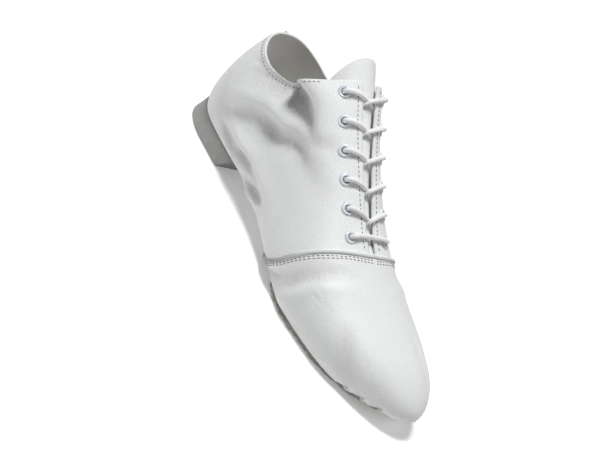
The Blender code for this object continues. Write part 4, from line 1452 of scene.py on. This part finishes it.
class JAZZSHOE_OT_eyelets(bpy.types.Operator):
    """Sets the eyelets"""

    bl_idname = "jazz_shoe.eyelets"
    bl_label = "Eyelets"

    def execute(self, context):
        bead = (sizes().eyelet_radius - EYELET_BORE) / 2
        rims = {
            "Flange": (EYELET_BORE + bead) * MM,
            "Flange bead": bead * MM,
            "Flatness": EYELET_FLATNESS,
            "Rolled edge": (EYELET_BORE + EYELET_ROLL) * MM,
            "Rolled bead": EYELET_ROLL * MM,
            "Rolled level": -(WALL + EYELET_ROLL / 2) * MM,
        }
        barrels = {
            "Radius": (EYELET_BORE + BARREL_WALL) * MM,
            "Wall": BARREL_WALL * MM,
            "Height": (WALL + BARREL_SPARE) / 2 / BARREL_WALL,
            "Level": -WALL / 2 * MM,
        }
        points, normals = eyelet_axes()
        along = np.cross(normals, (0.0, 1.0, 0.0))
        for name, shape, values, finish, solids in (
            ("eyelets", eyelet_shape, rims, "enamel", nodes_named("eyelet_")),
            ("eyelet_barrels", barrel_shape, barrels, "barrel", ()),
        ):
            made_repeats(name, shape, values, finish, points, normals, along, solids)
        return {"FINISHED"}


class JAZZSHOE_OT_lace(bpy.types.Operator):
    """Threads the lace from the top eyelets down to the bar and back"""

    bl_idname = "jazz_shoe.lace"
    bl_label = "Lace"

    def execute(self, context):
        spots = eyelet_spots()
        down = self.strand(spots, OUTER)
        up = self.strand(spots, INNER)[::-1]
        path = smooth_path(np.concatenate([down, self.bar(spots), up]), LACE_STEP)
        mesh = tube_mesh("lace_cord", path, sizes().lace_radius, LACE_SIDES)
        made_piece("lace_cord", mesh, (MATERIALS["cord"],), nodes_named("lace_"))
        return {"FINISHED"}

    def over_facing(self, spots, pair, side, cross_place):
        """From inside an eyelet, over its rim and the facing, to the edge of the throat."""
        place, climb = spots[pair, side]
        on_top = [(share, sizes().lace_radius + lift) for share, lift in OVER_FACING]
        share, lift = np.array([*OVER_RIM, *on_top]).T
        return on_leather(mix(place, cross_place, share**OVER_BEND), side, mix(climb, 1.0, share), lift)[0]

    def under_facing(self, spots, pair, side, cross_place):
        """From under the throat's edge to the inside of an eyelet."""
        place, climb = spots[pair, side]
        share = np.array(UNDER_FACING)
        return on_leather(mix(place, cross_place, share), side, mix(climb, 1.0, share), UNDER_LIFT)[0]

    def strand(self, spots, side):
        """One half of the lace, from a top eyelet down to the lowest pair."""
        points = []
        for pair in range(PAIRS, 1, -1):
            leave, meet, dive = (
                spots[pair, side][0] + EYELET_PITCH * share for share in (LEAVE_SHARE, MEET_SHARE, DIVE_SHARE)
            )
            points.append(self.over_facing(spots, pair, side, leave))
            edges = [on_leather(meet, s, 1.0, 0.0)[0] for s in SIDES]
            middle = (edges[0] + edges[1]) / 2
            over = CROSS_OVER if side == INNER else CROSS_UNDER
            points.append(middle + np.array(CROSS_AXIS) * over)
            points.append(self.under_facing(spots, pair - 1, -side, dive))
            side = -side
        return np.concatenate(points)

    def bar(self, spots):
        """Over the foot of the throat from one eyelet of the lowest pair to the other."""
        first = INNER if PAIRS % 2 == 0 else OUTER
        place = spots[1, first][0]
        near = self.over_facing(spots, 1, first, place)
        far = self.over_facing(spots, 1, -first, place)[::-1]
        return np.concatenate([near, far])


class JAZZSHOE_OT_stage(bpy.types.Operator):
    """Sets the floor, the lights and the camera"""

    bl_idname = "jazz_shoe.stage"
    bl_label = "Stage"

    def execute(self, context):
        scene = context.scene
        scene.view_settings.view_transform = "Standard"
        self.floor(scene)
        self.world(scene)
        # Soft lights: where they stand, their size and power
        for name, place, size, power in (
            ("key_light", (-0.3, -0.32, 1.72), 0.5, 28.5),
            ("fill_light", (-0.9, -1.5, 1.0), 1.2, 0.3),
            ("toe_light", (1.1, 0.8, 1.3), 0.9, 5.0),
        ):
            self.light(scene, name, Vector(place), size, power)
        self.camera(scene)
        return {"FINISHED"}

    def floor(self, scene):
        mesh = bpy.data.meshes.new("floor")
        reach = 6.0
        corners = [(-reach, -reach, 0), (reach, -reach, 0), (reach, reach, 0), (-reach, reach, 0)]
        mesh.from_pydata(corners, [], [(0, 1, 2, 3)])
        material, tree, shader = new_material("floor_white", 0.9)
        # White to the camera as far as it reaches, but weaker in the light that it throws on the shoe
        seen = node(tree, "ShaderNodeLightPath").outputs["Is Camera Ray"]
        away = node(tree, "ShaderNodeVectorMath", {0: object_coordinates(tree)}, operation="LENGTH")
        glow = ranged(tree, away.outputs["Value"], 0.35, 1.6, 0.22, 1.0)
        shader.inputs["Emission Color"].default_value = (1, 1, 1, 1)
        white, lit = ranged(tree, seen, 0.0, 1.0, 0.82, 0.93), ranged(tree, seen, 0.0, 1.0, 0.14, glow)
        feed(tree, shader, Base_Color=white, Emission_Strength=lit)
        mesh.materials.append(material)
        floor = bpy.data.objects.new("floor", mesh)
        floor.location.z = -0.0002
        scene.collection.objects.link(floor)

    def world(self, scene):
        scene.world = bpy.data.worlds.new("studio")
        scene.world.use_nodes = True
        tree = scene.world.node_tree
        sky = tree.nodes["Background"]
        sky.inputs["Color"].default_value = (1, 1, 1, 1)
        seen = node(tree, "ShaderNodeLightPath").outputs["Is Camera Ray"]
        tree.links.new(ranged(tree, seen, 0.0, 1.0, 0.10, 1.0), sky.inputs["Strength"])

    def light(self, scene, name, place, size, power):
        data = bpy.data.lights.new(name, "AREA")
        data.size = size
        data.energy = power
        lamp = bpy.data.objects.new(name, data)
        lamp.location = place
        lamp.rotation_euler = (Vector((0, 0, 0.04)) - place).to_track_quat("-Z", "Y").to_euler()
        scene.collection.objects.link(lamp)

    def camera(self, scene):
        azimuth, elevation, roll = math.radians(33), math.radians(27), math.radians(45)
        distance, lens = 1.25, 130
        away = Vector(
            (
                math.sin(azimuth) * math.cos(elevation),
                -math.cos(azimuth) * math.cos(elevation),
                math.sin(elevation),
            )
        )
        target = Vector((-0.005, -0.012, 0.024))
        data = bpy.data.cameras.new("camera")
        data.lens = lens
        camera = bpy.data.objects.new("camera", data)
        facing = (-away).to_track_quat("-Z", "Y").to_matrix().to_4x4()
        turned = facing @ Matrix.Rotation(roll, 4, "Z")
        camera.matrix_world = Matrix.Translation(target + away * distance) @ turned
        scene.collection.objects.link(camera)
        scene.camera = camera


class JAZZSHOE_PT_panel(bpy.types.Panel):
    """Lists the steps of the shoe's making and its sizes"""

    bl_idname = "JAZZSHOE_PT_panel"
    bl_label = "Jazz shoe"
    bl_space_type = "VIEW_3D"
    bl_region_type = "UI"
    bl_category = "Jazz shoe"

    def draw(self, context):
        for step in STEPS:
            self.layout.operator(step.bl_idname)
        for group in (sizes(), colours()):
            for key in group.bl_rna.properties.keys():
                if key not in ("rna_type", "name"):
                    self.layout.prop(group, key)


STEPS = (
    JAZZSHOE_OT_materials,
    JAZZSHOE_OT_stage,
    JAZZSHOE_OT_upper,
    JAZZSHOE_OT_tongue,
    JAZZSHOE_OT_insole,
    JAZZSHOE_OT_forefoot_sole,
    JAZZSHOE_OT_heel,
    JAZZSHOE_OT_piping,
    JAZZSHOE_OT_stitches,
    JAZZSHOE_OT_eyelets,
    JAZZSHOE_OT_lace,
)
CLASSES = (JAZZSHOE_PG_sizes, JAZZSHOE_PG_colours, *STEPS, JAZZSHOE_PT_panel)


def register():
    for made in CLASSES:
        bpy.utils.register_class(made)
    bpy.types.Scene.jazz_shoe_sizes = bpy.props.PointerProperty(type=JAZZSHOE_PG_sizes)
    bpy.types.Scene.jazz_shoe_colours = bpy.props.PointerProperty(type=JAZZSHOE_PG_colours)


def unregister():
    del bpy.types.Scene.jazz_shoe_colours
    del bpy.types.Scene.jazz_shoe_sizes
    for made in reversed(CLASSES):
        bpy.utils.unregister_class(made)


def main():
    register()
    for step in STEPS:
        getattr(bpy.ops.jazz_shoe, step.bl_idname.split(".")[1])()


if __name__ == "__main__":
    main()
